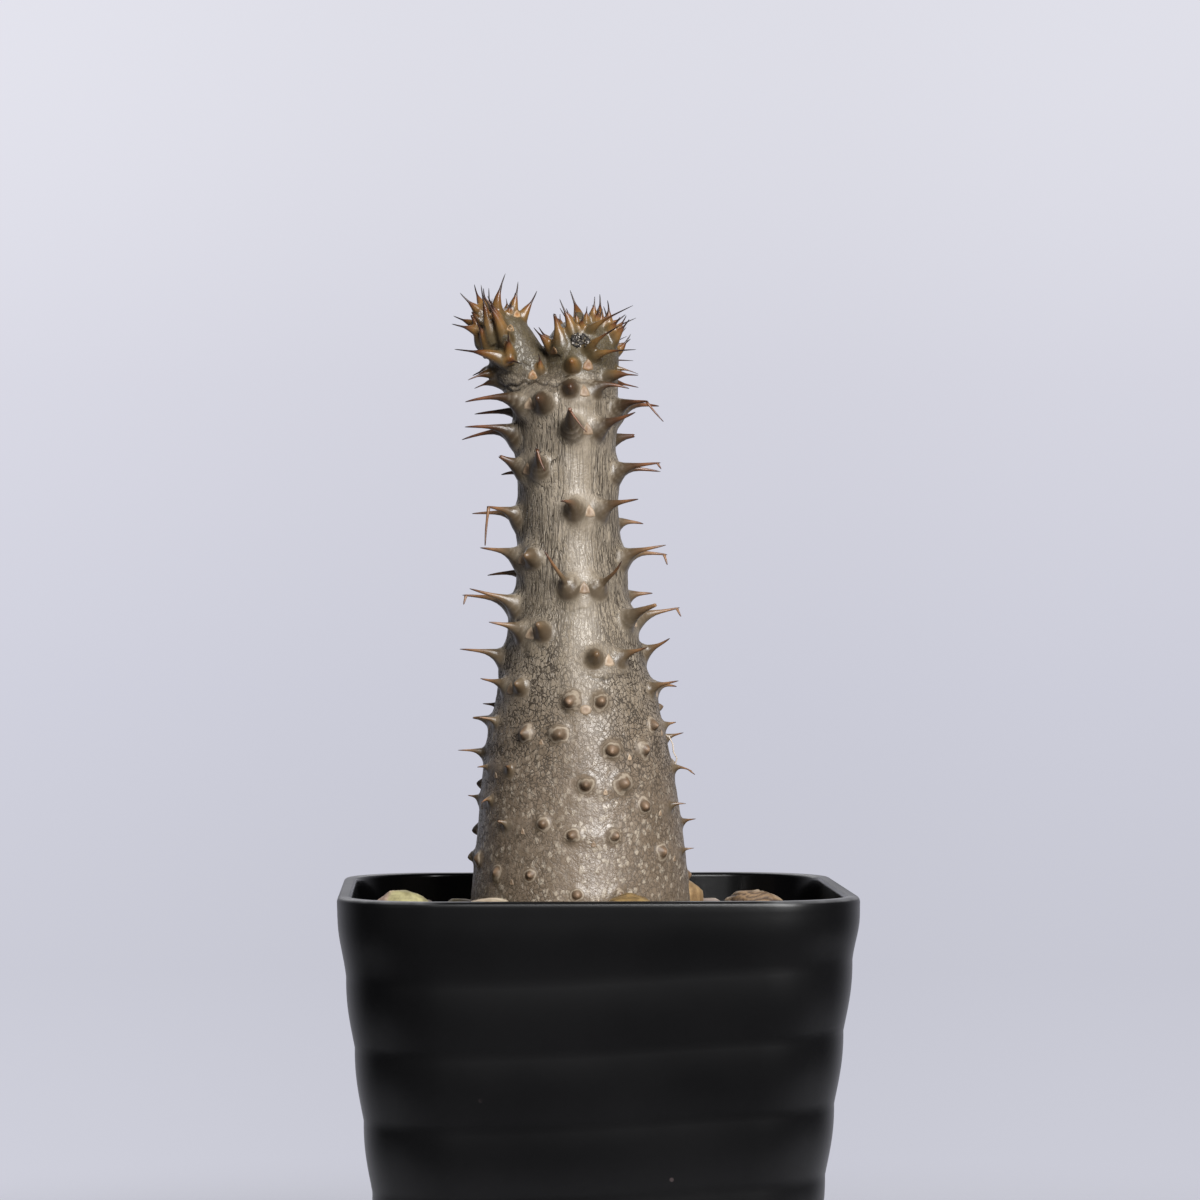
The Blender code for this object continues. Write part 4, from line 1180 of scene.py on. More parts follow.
def barkPattern(tree, place, beside, rough, fissures, spots):
    # cracks, lenticel spots and each cell's tone, the same for the bark's shape and for its colour
    bent = place
    for scale, reach in bark["bends"]:
        bend = addNode(tree, "ShaderNodeTexNoise", {"Vector": place, "Scale": scale, "Detail": 1.0})
        inputs = {0: bend.outputs["Color"], 1: (0.5, 0.5, 0.5)}
        shift = addNode(tree, "ShaderNodeVectorMath", inputs, operation="SUBTRACT").outputs[0]
        shift = scaleVector(tree, shift, (reach, reach, reach))
        bent = addNode(tree, "ShaderNodeVectorMath", {0: bent, 1: shift}, operation="ADD").outputs[0]
    patchy = noiseField(tree, place, bark["patchScale"], 2.0)
    width = remap(tree, patchy, 0.36, 0.64, *bark["cellWalls"])
    edge = calculate(tree, "DIVIDE", cellField(tree, bent, 1.0, "DISTANCE_TO_EDGE"), width)
    crack = multiply(tree, remap(tree, edge, 0.35, 1.0, 1.0, 0.0), rough)
    for scale, size, share in bark["lines"]:
        thick = remap(tree, patchy, 0.36, 0.64, *(size * thickness for thickness in bark["lineThickness"]))
        line = multiply(tree, barkLines(tree, place, beside, scale, thick), share)
        crack = calculate(tree, "MAXIMUM", crack, multiply(tree, line, fissures))
    tone = splitVector(tree, cellField(tree, bent, 1.0, output="Color"))[0]
    large = addNode(tree, "ShaderNodeTexVoronoi", {"Vector": bent, "Scale": bark["spotScale"]})
    some = splitVector(tree, large.outputs["Color"])[1]
    spot = remap(tree, large.outputs["Distance"], *bark["spotSize"], 1.0, 0.0)
    spot = multiply(tree, spot, remap(tree, some, *bark["spotShare"]))
    return crack, multiply(tree, spot, spots), tone


def barkLines(tree, place, beside, scale, thick):
    # upright lines where a stretched field crosses its middle; they end where the field runs level
    here, there = (
        noiseField(tree, scaleVector(tree, spot, bark["lineStretch"]), scale) for spot in (place, beside)
    )
    slope = calculate(tree, "ABSOLUTE", calculate(tree, "SUBTRACT", here, there))
    slope = calculate(tree, "MAXIMUM", slope, bark["leastSlope"])
    slope = calculate(tree, "DIVIDE", slope, bark["besideStep"])
    away = calculate(tree, "ABSOLUTE", calculate(tree, "SUBTRACT", here, 0.5))
    away = calculate(tree, "DIVIDE", away, slope)
    return remap(tree, calculate(tree, "DIVIDE", away, thick), 0.35, 1.0, 1.0, 0.0)


def reliefModifier(piece):
    # pushes the cracks in and the spots out, with the pattern that the material colours, and makes the bark
    # uneven
    tree = bpy.data.node_groups.new("barkRelief", "GeometryNodeTree")
    tree.interface.new_socket("Geometry", in_out="INPUT", socket_type="NodeSocketGeometry")
    tree.interface.new_socket("Geometry", in_out="OUTPUT", socket_type="NodeSocketGeometry")
    given, made = tree.nodes.new("NodeGroupInput"), tree.nodes.new("NodeGroupOutput")

    def stored(name, kind="FLOAT"):
        named = addNode(tree, "GeometryNodeInputNamedAttribute", {"Name": name}, data_type=kind)
        return named.outputs["Attribute"]

    fields = [stored(name) for name in ("rough", "fissures", "spots")]
    place, beside = stored("place", "FLOAT_VECTOR"), stored("beside", "FLOAT_VECTOR")
    crack, spot, _ = barkPattern(tree, place, beside, *fields)
    uneven = calculate(tree, "SUBTRACT", noiseField(tree, place, bark["unevenScale"], 2.0), 0.5)
    uneven = multiply(tree, multiply(tree, uneven, 2.0), calculate(tree, "SUBTRACT", 1.0, stored("calm")))
    push = multiply(tree, crack, -bark["crackDepth"] * mm)
    crease = stored("crease")
    rises = ((spot, bark["spotRise"]), (uneven, bark["unevenDepth"]), (crease, -bark["creaseDepth"]))
    for field, rise in rises:
        push = calculate(tree, "ADD", push, multiply(tree, field, rise * mm))
    normal = addNode(tree, "GeometryNodeInputNormal").outputs["Normal"]
    offset = addNode(tree, "ShaderNodeVectorMath", {0: normal, "Scale": push}, operation="SCALE").outputs[0]
    moved = addNode(tree, "GeometryNodeSetPosition", {"Geometry": given.outputs[0], "Offset": offset})
    tree.links.new(moved.outputs[0], made.inputs[0])
    piece.modifiers.new("relief", "NODES").node_group = tree
    applyModifiers(piece)


def groundColours(tree, cellTone, rough, spot, crack, upper, crown, noises):
    # the bark's own colours, and the dirt that darkens them
    ground = blendColours(tree, upper, bark["lowGround"], bark["highGround"])
    ground = blendColours(tree, crown, ground, bark["crownGround"])
    dark = blendColours(tree, 1.0, ground, bark["dirt"], "MULTIPLY")
    for name, *reach in bark["dirty"]:
        ground = blendColours(tree, remap(tree, noises[name], *reach), ground, dark)
    loose = multiply(tree, remap(tree, cellTone, 0.1, 0.6, 0.55, 0.0), rough)
    ground = blendColours(tree, loose, ground, dark)
    ground = blendColours(tree, multiply(tree, spot, 0.85), ground, bark["spotColour"])
    return blendColours(tree, crack, ground, bark["crackColour"]), dark


def thornColours(tree, top, crown, mottle):
    along = storedValue(tree, "along")
    names = ("lowThorn", "highThorn", "crownThorn")
    low, high, young = (colourRamp(tree, along, bark[name]) for name in names)
    thorn = blendColours(tree, crown, blendColours(tree, top, low, high), young)
    streaks = blendColours(tree, 1.0, thorn, bark["streaks"], "MULTIPLY")
    return blendColours(tree, remap(tree, mottle, 0.35, 0.6, 0.7, 0.0), thorn, streaks)


def barkMaterial():
    material, tree, shader, place = newMaterial("barkSkin", 0.4, bark["gloss"])
    mound, worn = storedValue(tree, "mound"), storedValue(tree, "worn")
    fields = [storedValue(tree, name) for name in ("rough", "fissures", "spots")]
    spots = (storedValue(tree, name, "Vector") for name in ("place", "beside"))
    crack, spot, cellTone = barkPattern(tree, *spots, *fields)
    height = splitVector(tree, place)[2]
    upper, top, crown = (
        remap(tree, height, *(rimZ + above * mm for above in bark[name]))
        for name in ("upperFrom", "topFrom", "crownFrom")
    )
    noises = {name: noiseField(tree, place, *settings) for name, settings in bark["noises"].items()}
    mottle, fine = noises["mottle"], noises["fine"]
    ground, dark = groundColours(tree, cellTone, fields[0], spot, crack, upper, crown, noises)
    skin = blendColours(tree, mound, ground, thornColours(tree, top, crown, mottle))
    wobble = remap(tree, noiseField(tree, place, 330.0), 0.25, 0.75, -0.65, 0.55)
    girth = calculate(tree, "ADD", storedValue(tree, "girth"), wobble)
    rings = colourRamp(tree, calculate(tree, "DIVIDE", girth, bark["wornReach"]), bark["wornRings"])
    rings = blendColours(tree, remap(tree, fine, 0.3, 0.6, 0.45, 0.0), rings, dark)
    here = multiply(tree, worn, remap(tree, girth, *bark["wornEdge"], 1.0, 0.0))
    here = multiply(tree, here, mound)
    bare = multiply(tree, worn, remap(tree, girth, *bark["wornEdge"]))
    skin = blendColours(tree, bare, skin, ground)
    skin = blendColours(tree, here, skin, rings)
    skin = blendColours(tree, storedValue(tree, "crease"), skin, bark["crackColour"])
    tree.links.new(skin, shader.inputs["Base Color"])
    # cracks and worn rings are duller, and the crown's thorns a little glossier
    dull = remap(tree, mottle, 0.3, 0.7, *bark["roughness"])
    dull = calculate(tree, "ADD", multiply(tree, crack, 0.4), dull)
    dull = calculate(tree, "ADD", dull, multiply(tree, here, 0.2))
    dull = calculate(tree, "SUBTRACT", dull, multiply(tree, multiply(tree, mound, crown), 0.05))
    tree.links.new(dull, shader.inputs["Roughness"])
    grainy = noiseField(tree, place, 1500.0, 3.0, 0.6)
    grainy = multiply(tree, grainy, remap(tree, mound, 0.0, 1.0, 1.1, 0.35))
    relief = calculate(tree, "SUBTRACT", grainy, multiply(tree, crack, 0.9))
    relief = calculate(tree, "ADD", relief, multiply(tree, spot, 0.2))
    addBump(tree, shader, relief, 0.12, 0.9)
    return material


def barkPiece(name, bodies, plans, pairs, voxel, softening):
    # a skin over the bodies and the thorns' lower parts, with its relief
    cones = [thornCone(thorn) for thorn in plans]
    piece = meltTogether(name, bodies + cones, voxel)
    softenJoints(piece, plans, *softening)
    barkAttributes(piece, plans, pairs)
    reliefModifier(piece)
    print("stage:", name, len(piece.data.polygons), "faces")
    return piece


def buildPlant():
    skin = barkMaterial()
    seeds, left, right = plant["seeds"], plant["leftBranch"], plant["rightBranch"]
    stemPlans, pairs = stemThornPlans()
    crownPlans = crownThornPlans(left, leftCrown) + crownThornPlans(right, rightCrown)
    spikeRng = random.Random(seeds["spikes"])
    crownPlans += crownSpikes(left, 1, spikeRng) + crownSpikes(right, -1, spikeRng)
    top = plant["sections"][-1][0]
    body = loft("stem", stemRings(plant["soilLine"], top, plant["ringStep"], plant["sides"], pairs))
    stemBark = barkPiece(
        "stemBark", [facesOutward(body)], stemPlans, pairs, plant["stemVoxel"], plant["stemSoftening"]
    )
    branches = [facesOutward(loft("branch", branchRings(sections))) for sections in (left, right)]
    crownBark = barkPiece("crownBark", branches, crownPlans, (), plant["crownVoxel"], plant["crownSoftening"])
    rng = random.Random(seeds["ends"])
    skins = [[part for thorn in plans for part in thornSkin(thorn, rng)] for plans in (stemPlans, crownPlans)]
    stemThorns, crownThorns = joinPieces("stemThorns", skins[0]), joinPieces("crownThorns", skins[1])
    rootTop = plant["soilLine"] + plant["rootOverlap"]
    rootRings = stemRings(plant["sections"][0][0], rootTop, plant["rootStep"], plant["rootSides"])
    root = facesOutward(loft("buriedRoot", rootRings))
    for piece in (stemThorns, crownThorns, root):
        for name in ("place", "beside"):
            storeVector(piece.data, name, toPlant(meshPoints(piece.data)) / bark["cellSize"])
    for thorns in (stemThorns, crownThorns):
        storeNumber(thorns.data, "mound", np.ones(len(thorns.data.vertices)))
    for piece in (stemBark, crownBark, stemThorns, crownThorns, root):
        dressPiece(piece, skin)
        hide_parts("plant")
    print("stage: thorns", len(stemThorns.data.polygons) + len(crownThorns.data.polygons), "faces")
    return stemBark, crownBark, pairs


def dressPiece(piece, material):
    setFinish(piece, material)
    pickOnly(piece)
    bpy.ops.object.shade_smooth()
    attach(piece, "root")


stemBark, crownBark, thornPairs = buildPlant()


# The small things on the bark: leaf scars, a dried flower and a dried fibre

details = {
    "seeds": {"scars": 13, "flower": 3},
    "rayStart": 45.0,  # in front of the stem's middle, from where a place on the bark is looked for
    "scarBelow": (1.5, 2.0),  # how far a large and a small leaf scar's middle lie below their pair
    "scarSides": 18,
    "scarScale": 1.3,
    "scarLook": (6.0, 4.0),  # where a scar's points look for the bark: from how far off, and to how deep
    "scarCorners": (0.6, 0.5),  # a triangle has 1 and a round 0: the stem's scars and the crown's
    "scarRings": ((1.0, -0.25), (0.86, 0.06), (0.55, 0.12), (0.25, 0.05)),  # share of the size, and lift
    "largeScar": (1.5, 1.8),  # half width, half height
    "smallScar": (0.7, 0.9),
    "ringScar": (44.2, (1.6, 1.4)),  # the scar of this pair is round
    "crownScars": (  # x, height, half size
        (-14.3, 120.9, 1.3), (-19.5, 132.1, 1.0), (-18.0, 135.7, 1.0), (-9.3, 126.6, 1.0), (-1.2, 123.1, 1.5),
    ),
    # from a scar's middle to its edge
    "scarColours": (
        (0.0, (0.240, 0.150, 0.090)), (0.3, (0.360, 0.255, 0.170)), (0.55, (0.430, 0.325, 0.230)),
        (0.86, (0.340, 0.260, 0.180)), (1.0, (0.170, 0.130, 0.090)),
    ),
    "crownScarColours": (
        (0.0, (0.200, 0.075, 0.030)), (0.3, (0.330, 0.160, 0.062)), (0.5, (0.420, 0.250, 0.125)),
        (1.0, (0.230, 0.150, 0.075)),
    ),
    "scarDirt": (0.42, 0.36, 0.30),  # multiplies the colour of the older scars
    "scarSpecks": (0.17, 0.12, 0.08),
    "flower": (-2.9, 129.2, 2.3, 1.7),  # x, height, half width, half height
    "flowerBits": 120,
    "flowerSizes": (0.16, 0.4),
    "flowerRise": 0.35,
    "paleBits": 7,  # each bit of this number is pale
    "flowerColours": ((0.020, 0.017, 0.016), (0.36, 0.33, 0.30)),
    "fibre": (  # x, height
        (16.6, 36.3), (18.0, 35.6), (18.9, 33.8), (19.1, 31.8), (19.9, 30.4), (19.5, 28.9), (18.6, 28.4),
    ),
    "fibreForward": 1.2,
    "fibreRadii": (0.16, 0.1),  # along it, and at its ends
    "fibreColours": ((0.42, 0.33, 0.25), (0.60, 0.52, 0.43)),
}


def plantDirection(x, y):
    moved = toPot([(x, y, 0)])[0] - toPot([(0, 0, 0)])[0]
    return Vector(moved).normalized()


def touchBark(origin, direction):
    # the nearest point of the bark along a ray
    nearest = None
    for host in (stemBark, crownBark):
        struck, spot, _, _ = host.ray_cast(origin, direction)
        if struck and (nearest is None or (spot - origin).length < (nearest - origin).length):
            nearest = spot
    return nearest


def scarPad(middle, away, halfSizes, corners):
    # a low closed pad that lies on the bark: a rounded triangle with its point up, or a round
    side = Vector((0, 0, 1)).cross(away).normalized()
    up = away.cross(side)
    halfWidth, halfHeight = (half * details["scarScale"] * mm for half in halfSizes)
    start, deepest = (distance * mm for distance in details["scarLook"])
    sides = details["scarSides"]
    points, shares = [], []
    for share, lift in details["scarRings"]:
        for a in circleAngles(sides):
            pointed = 0.5 / math.cos(a % (math.tau / 3) - math.pi / 3)
            reach = share * (pointed * corners + 0.75 * (1 - corners))
            spot = middle + side * math.sin(a) * reach * halfWidth + up * math.cos(a) * reach * halfHeight
            hit = touchBark(spot + away * start, -away)
            if hit is None or (hit - spot).length > deepest:
                return None
            points.append(hit + away * lift * mm)
            shares.append(share)
    faces = [tuple(reversed(range(sides)))]
    for ring in range(len(details["scarRings"]) - 1):
        for k in range(sides):
            j = (k + 1) % sides
            low, high = ring * sides, (ring + 1) * sides
            faces.append((low + k, low + j, high + j, high + k))
    faces.append(tuple(range(len(points) - sides, len(points))))
    pad = facesOutward(pieceFrom("scar", points, faces))
    storeNumber(pad.data, "ring", shares)
    return pad


def stemScarPlan(height, azimuth, length):
    # where the ray to a pair's scar starts and comes from, its half sizes, its form, and 0 for the stem
    large = length > thornStyle["largeFrom"]
    halfSizes, corners = details["largeScar" if large else "smallScar"], details["scarCorners"][0]
    if height == details["ringScar"][0]:
        halfSizes, corners = details["ringScar"][1], 0.0
    x, y = math.sin(azimuth), -math.cos(azimuth)
    lean, reach = readSections(plant["sections"], height)[0], details["rayStart"]
    below = height - details["scarBelow"][0 if large else 1]
    return toPot([(lean + reach * x, reach * y, below)])[0], plantDirection(x, y), halfSizes, corners, 0.0


def crownScarPlan(x, height, halfSize):
    start = toPot([(x, -details["rayStart"], height)])[0]
    return start, plantDirection(0, -1), (halfSize, halfSize * 1.1), details["scarCorners"][1], 1.0


def scarMaterial():
    material, tree, shader, place = newMaterial("scarSkin", 0.45, 0.4)
    ring = storedValue(tree, "ring")
    colour = blendColours(
        tree, storedValue(tree, "crownScar"),
        colourRamp(tree, ring, details["scarColours"]), colourRamp(tree, ring, details["crownScarColours"]),
    )
    mottle = noiseField(tree, place, 900.0)
    dark = blendColours(tree, 1.0, colour, details["scarDirt"], "MULTIPLY")
    colour = blendColours(tree, remap(tree, storedValue(tree, "pale"), 0.0, 1.0, 0.8, 0.0), colour, dark)
    colour = blendColours(tree, remap(tree, mottle, 0.35, 0.65, 0.0, 0.4), colour, details["scarSpecks"])
    tree.links.new(colour, shader.inputs["Base Color"])
    addBump(tree, shader, mottle, 0.1, 0.6)
    return material


def leafScars():
    rng = random.Random(details["seeds"]["scars"])
    plans = [stemScarPlan(height, azimuth, length) for height, azimuth, length, _ in thornPairs]
    plans += [crownScarPlan(*scar) for scar in details["crownScars"]]
    pads = []
    for start, away, halfSizes, corners, young in plans:
        middle = touchBark(Vector(start), -away)
        pad = middle and scarPad(middle, away, halfSizes, corners)
        if pad:
            count = len(pad.data.vertices)
            storeNumber(pad.data, "crownScar", np.full(count, young))
            storeNumber(pad.data, "pale", np.full(count, rng.uniform(0.0, 1.0)))
            pads.append(pad)
    dressPiece(joinPieces("leafScars", pads), scarMaterial())
    print("stage: leaf scars", len(pads))


def grainShape():
    # a round grain of 24 faces, 1 across its radius
    deselectAll()
    bpy.ops.mesh.primitive_cube_add(size=1.0)
    cube = bpy.context.object
    bpy.ops.object.mode_set(mode="EDIT")
    bpy.ops.mesh.select_all(action="SELECT")
    bpy.ops.mesh.subdivide(number_cuts=1)
    bpy.ops.transform.tosphere(value=0.8)
    bpy.ops.object.mode_set(mode="OBJECT")
    points = meshPoints(cube.data)
    points /= np.linalg.norm(points, axis=1).max()
    faces = [tuple(face.vertices) for face in cube.data.polygons]
    bpy.data.objects.remove(cube)
    return points, faces


def grainCopies(name, places, rng):
    # one piece of many grains: each place is a middle, three radii and a tone, which is kept as an attribute
    shape, faces = grainShape()
    points, allFaces, tones = [], [], []
    for spot, radii, tone in places:
        turn = Euler([rng.uniform(0, math.tau) for _ in range(3)]).to_matrix()
        knobs = np.array([rng.uniform(0.78, 1.15) for _ in range(len(shape))])[:, None]
        lump = (shape * knobs * radii) @ np.array(turn).T + np.array(spot)
        allFaces += [tuple(index + len(shape) * len(tones) for index in face) for face in faces]
        points.append(lump)
        tones.append(tone)
    piece = pieceFrom(name, np.concatenate(points), allFaces)
    storeNumber(piece.data, "tone", np.repeat(tones, len(shape)))
    return piece


def driedFlower():
    rng = random.Random(details["seeds"]["flower"])
    x, height, wide, tall = details["flower"]
    away = plantDirection(0, -1)
    places = []
    for number in range(details["flowerBits"]):
        a, reach = rng.uniform(0, math.tau), math.sqrt(rng.uniform(0, 1))
        across, upward = x + wide * reach * math.cos(a), height + tall * reach * math.sin(a)
        hit = touchBark(Vector(toPot([(across, -details["rayStart"], upward)])[0]), -away)
        if hit is not None:
            size = rng.uniform(*details["flowerSizes"]) * mm
            radii = (size, size * rng.uniform(0.5, 0.9), size * rng.uniform(0.5, 1.1))
            tone = 1.0 if number % details["paleBits"] == 0 else rng.uniform(0, 0.15)
            places.append((hit + away * rng.uniform(0.0, details["flowerRise"]) * mm, radii, tone))
    piece = grainCopies("driedFlower", places, rng)
    material, tree, shader, place = newMaterial("driedPetals", 0.8, 0.15)
    colour = blendColours(tree, storedValue(tree, "tone"), *details["flowerColours"])
    tree.links.new(colour, shader.inputs["Base Color"])
    addBump(tree, shader, noiseField(tree, place, 2600.0), 0.1, 0.8)
    dressPiece(piece, material)
    print("stage: dried flower", len(places), "bits")


def driedFibre():
    rings, last = [], len(details["fibre"]) - 1
    for number, (x, height) in enumerate(details["fibre"]):
        spot = Vector((x, -details["fibreForward"], height))
        wide = details["fibreRadii"][0 if 0 < number < last else 1]
        rings.append([spot + Vector((math.cos(a) * wide, math.sin(a) * wide, 0)) for a in circleAngles(6)])
    piece = facesOutward(loft("driedFibre", rings))
    material, tree, shader, place = newMaterial("dryFibre", 0.5, 0.4)
    colour = blendColours(tree, noiseField(tree, place, 700.0), *details["fibreColours"])
    tree.links.new(colour, shader.inputs["Base Color"])
    dressPiece(piece, material)
    print("stage: dried fibre")


leafScars()
driedFlower()
driedFibre()


# The stones, the soil's grit, and the finishes of the parts that the frame gives

stones = {
    "seed": 17,
    "voxel": 0.62,
    "softening": (0.5, 4),  # strength, rounds
    "lumps": ((0.16, 0.5), (0.5, 0.2)),  # how many to a millimetre, depth
    "bandForm": (0.75, 0.3, 1.0),  # the layers are shells round a stone's foot, this long the other way
    "bandStep": 0.85,  # millimetres from layer to layer
    "bandSway": (0.3, 0.9),  # how many bends to a millimetre, and how far they go
    "bandDepth": 0.22,
    "layerColour": (0.055, 0.034, 0.022),
    "dirt": (0.45, 0.42, 0.38),  # multiplies the tints
    # two tints, how strongly the layers show, and how full the shoulders are: 2 leaves them as they are
    "looks": {
        "stone_01": ((0.330, 0.300, 0.150), (0.400, 0.290, 0.230), 0.15, 2.0),
        "stone_02": ((0.520, 0.440, 0.330), (0.430, 0.340, 0.240), 0.0, 1.8),
        "stone_03": ((0.360, 0.240, 0.090), (0.250, 0.160, 0.060), 0.1, 2.6),
        "stone_04": ((0.380, 0.260, 0.130), (0.300, 0.190, 0.090), 0.1, 2.4),
        "stone_05": ((0.210, 0.135, 0.075), (0.340, 0.250, 0.155), 1.0, 2.5),
    },
    "otherTints": (
        (0.420, 0.330, 0.210), (0.300, 0.200, 0.110), (0.500, 0.430, 0.330), (0.240, 0.190, 0.140),
        (0.370, 0.290, 0.150), (0.330, 0.260, 0.220),
    ),
    "otherBands": (0.0, 0.0, 0.3),  # one of these is drawn for each
}


def stoneMaterial():
    material, tree, shader, place = newMaterial("stoneSkin", 0.62, 0.35)
    mottle = noiseField(tree, place, 260.0, 4.0, 0.6)
    broad = noiseField(tree, place, 90.0)
    tints = storedValue(tree, "tint", "Vector"), storedValue(tree, "secondTint", "Vector")
    colour = blendColours(tree, remap(tree, broad, 0.42, 0.58), *tints)
    dark = blendColours(tree, 1.0, colour, stones["dirt"], "MULTIPLY")
    colour = blendColours(tree, remap(tree, mottle, 0.35, 0.6, 0.75, 0.0), colour, dark)
    layers = storedValue(tree, "layers")
    colour = blendColours(tree, layers, colour, stones["layerColour"])
    tree.links.new(colour, shader.inputs["Base Color"])
    relief = calculate(tree, "SUBTRACT", noiseField(tree, place, 1500.0, 3.0, 0.65), layers)
    addBump(tree, shader, relief, 0.25, 0.8)
    return material


def stoneCopy(node):
    # an even, softened copy of a solid, which can carry relief
    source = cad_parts[node]
    piece = bpy.data.objects.new(node.replace("_", "Skin"), source.data.copy())
    bpy.context.scene.collection.objects.link(piece)
    pickOnly(piece)
    bpy.ops.object.mode_set(mode="EDIT")
    bpy.ops.mesh.select_all(action="SELECT")
    bpy.ops.mesh.remove_doubles(threshold=1e-6)
    bpy.ops.object.mode_set(mode="OBJECT")
    piece.data.remesh_voxel_size = stones["voxel"] * mm
    bpy.ops.object.voxel_remesh()
    smooth = piece.modifiers.new("smooth", "SMOOTH")
    smooth.factor, smooth.iterations = stones["softening"]
    return applyModifiers(piece)


def lumpField(points, scale, offset):
    return np.array([noise.noise(Vector(p) / mm * scale + offset) for p in points.tolist()])


def stoneLayers(points, offset):
    low, high = points.min(axis=0), points.max(axis=0)
    foot = np.array(((low[0] + high[0]) / 2, (low[1] + high[1]) / 2, low[2]))
    away = np.linalg.norm((points - foot) * stones["bandForm"], axis=1) / mm
    scale, reach = stones["bandSway"]
    shells = (away + lumpField(points, scale, offset) * reach) * math.tau / stones["bandStep"]
    return smoothStep(0.1, 0.75, np.sin(shells))


def fillBox(points, node, full):
    # makes the shoulders fuller and fits the points to the box of the stone's solid
    boxLow, boxHigh = (np.array(corner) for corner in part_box(node))
    low, high = points.min(axis=0), points.max(axis=0)
    spots = (points - low) / (high - low) * 2 - 1
    reach = np.linalg.norm(spots, axis=1) / (np.abs(spots) ** full).sum(axis=1) ** (1 / full)
    spots = np.clip(spots * reach[:, None], -1, 1)
    return boxLow + (spots + 1) / 2 * (boxHigh - boxLow)


def dressStone(node, material, rng):
    piece = stoneCopy(node)
    points = meshPoints(piece.data)
    normals = np.empty(points.size, dtype=np.float32)
    piece.data.vertices.foreach_get("normal", normals)
    push = np.zeros(len(points))
    offset = Vector([rng.uniform(-50, 50) for _ in range(3)])
    for scale, depth in stones["lumps"]:
        push -= depth * (0.5 + 0.5 * lumpField(points, scale, offset))
    drawn = (*rng.sample(stones["otherTints"], 2), rng.choice(stones["otherBands"]), 2.0)
    tint, second, banded, full = stones["looks"].get(node, drawn)
    layers = stoneLayers(points, offset) * banded
    push -= layers * stones["bandDepth"]
    points += normals.reshape(-1, 3) * push[:, None] * mm
    setPoints(piece.data, fillBox(points, node, full))
    storeVector(piece.data, "tint", np.tile(tint, (len(points), 1)))
    storeVector(piece.data, "secondTint", np.tile(second, (len(points), 1)))
    storeNumber(piece.data, "layers", layers)
    dressPiece(piece, material)
    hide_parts(node)
    return piece


def dressStones():
    rng = random.Random(stones["seed"])
    material = stoneMaterial()
    names = sorted(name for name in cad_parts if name.startswith("stone_"))
    dressed = [dressStone(name, material, rng) for name in names]
    print("stage: stones", sum(len(piece.data.polygons) for piece in dressed), "faces")


grit = {
    "seed": 29,
    "count": 900,
    "radii": (0.55, 1.5),
    "reach": 50.5,  # half the width of the soil that it lies on
    "corner": 24.0,
    "colours": ((0.030, 0.020, 0.014), (0.230, 0.170, 0.115)),
}

# the mixes below the stones: two colours, the grains' size, their depth, the roughness
loose = {
    "soil": ("soilMix", ((0.035, 0.024, 0.016), (0.110, 0.080, 0.055)), 1.6, 0.8, 0.85),
    "drainage_gravel": ("pumiceGrains", ((0.520, 0.470, 0.390), (0.400, 0.350, 0.280)), 6.0, 2.0, 0.8),
}


def underStone(x, y, low, high):
    across = (x - (low.x + high.x) / 2) / (high.x - low.x)
    along = (y - (low.y + high.y) / 2) / (high.y - low.y)
    return math.hypot(across, along) < 0.4


def soilGrit():
    rng = random.Random(grit["seed"])
    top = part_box("soil")[1].z
    boxes = [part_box(name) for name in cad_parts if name.startswith("stone_")]
    lean, radius = readSections(plant["sections"], (top - rimZ) / mm)
    stem = toPot([(lean, 0, 0)])[0]
    places = []
    while len(places) < grit["count"]:
        x, y = (rng.uniform(-grit["reach"], grit["reach"]) * mm for _ in range(2))
        size = rng.uniform(*grit["radii"]) * mm
        over = [max(abs(v) / mm - grit["reach"] + grit["corner"], 0.0) for v in (x, y)]
        onSoil = math.hypot(*over) < grit["corner"] and not any(underStone(x, y, *box) for box in boxes)
        if onSoil and math.hypot(x - stem[0], y - stem[1]) > radius * mm + size:
            radii = (size, size * rng.uniform(0.7, 1.0), size * rng.uniform(0.6, 0.9))
            places.append(((x, y, top + size * 0.45), radii, rng.random() ** 2))
    piece = grainCopies("soilGrit", places, rng)
    material, tree, shader, place = newMaterial("gritSkin", 0.8, 0.3)
    colour = blendColours(tree, storedValue(tree, "tone"), *grit["colours"])
    tree.links.new(colour, shader.inputs["Base Color"])
    addBump(tree, shader, noiseField(tree, place, 1800.0, 3.0), 0.2, 0.8)
    dressPiece(piece, material)
    print("stage: grit", len(piece.data.polygons), "faces")


def looseMaterial(name, colours, size, depth, roughness):
    # grains of a given size, in millimetres
    material, tree, shader, place = newMaterial(name, roughness, 0.3)
    lumps = cellField(tree, place, 1 / (size * mm))
    mottle = noiseField(tree, place, 0.6 / (size * mm), 3.0)
    colour = blendColours(tree, remap(tree, mottle, 0.35, 0.65), *colours)
    # the gaps between the grains are painted near black, as shade
    colour = blendColours(tree, remap(tree, lumps, 0.3, 0.75, 0.0, 0.85), colour, (0.012, 0.009, 0.007))
    tree.links.new(colour, shader.inputs["Base Color"])
    addBump(tree, shader, calculate(tree, "SUBTRACT", 1.0, lumps), depth, 1.0)
    return material


def netMaterial():
    material, tree, shader, place = newMaterial("blackNet", 0.55, 0.4)
    colour = blendColours(tree, noiseField(tree, place, 400.0), (0.016, 0.016, 0.016), (0.028, 0.028, 0.028))
    tree.links.new(colour, shader.inputs["Base Color"])
    return material


def finishFrame():
    finishes = {node: looseMaterial(*settings) for node, settings in loose.items()}
    finishes["drainage_mesh"] = netMaterial()
    for node, material in finishes.items():
        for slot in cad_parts[node].material_slots:
            slot.material = material
    print("stage: soil, gravel and net finished")


dressStones()
soilGrit()
finishFrame()


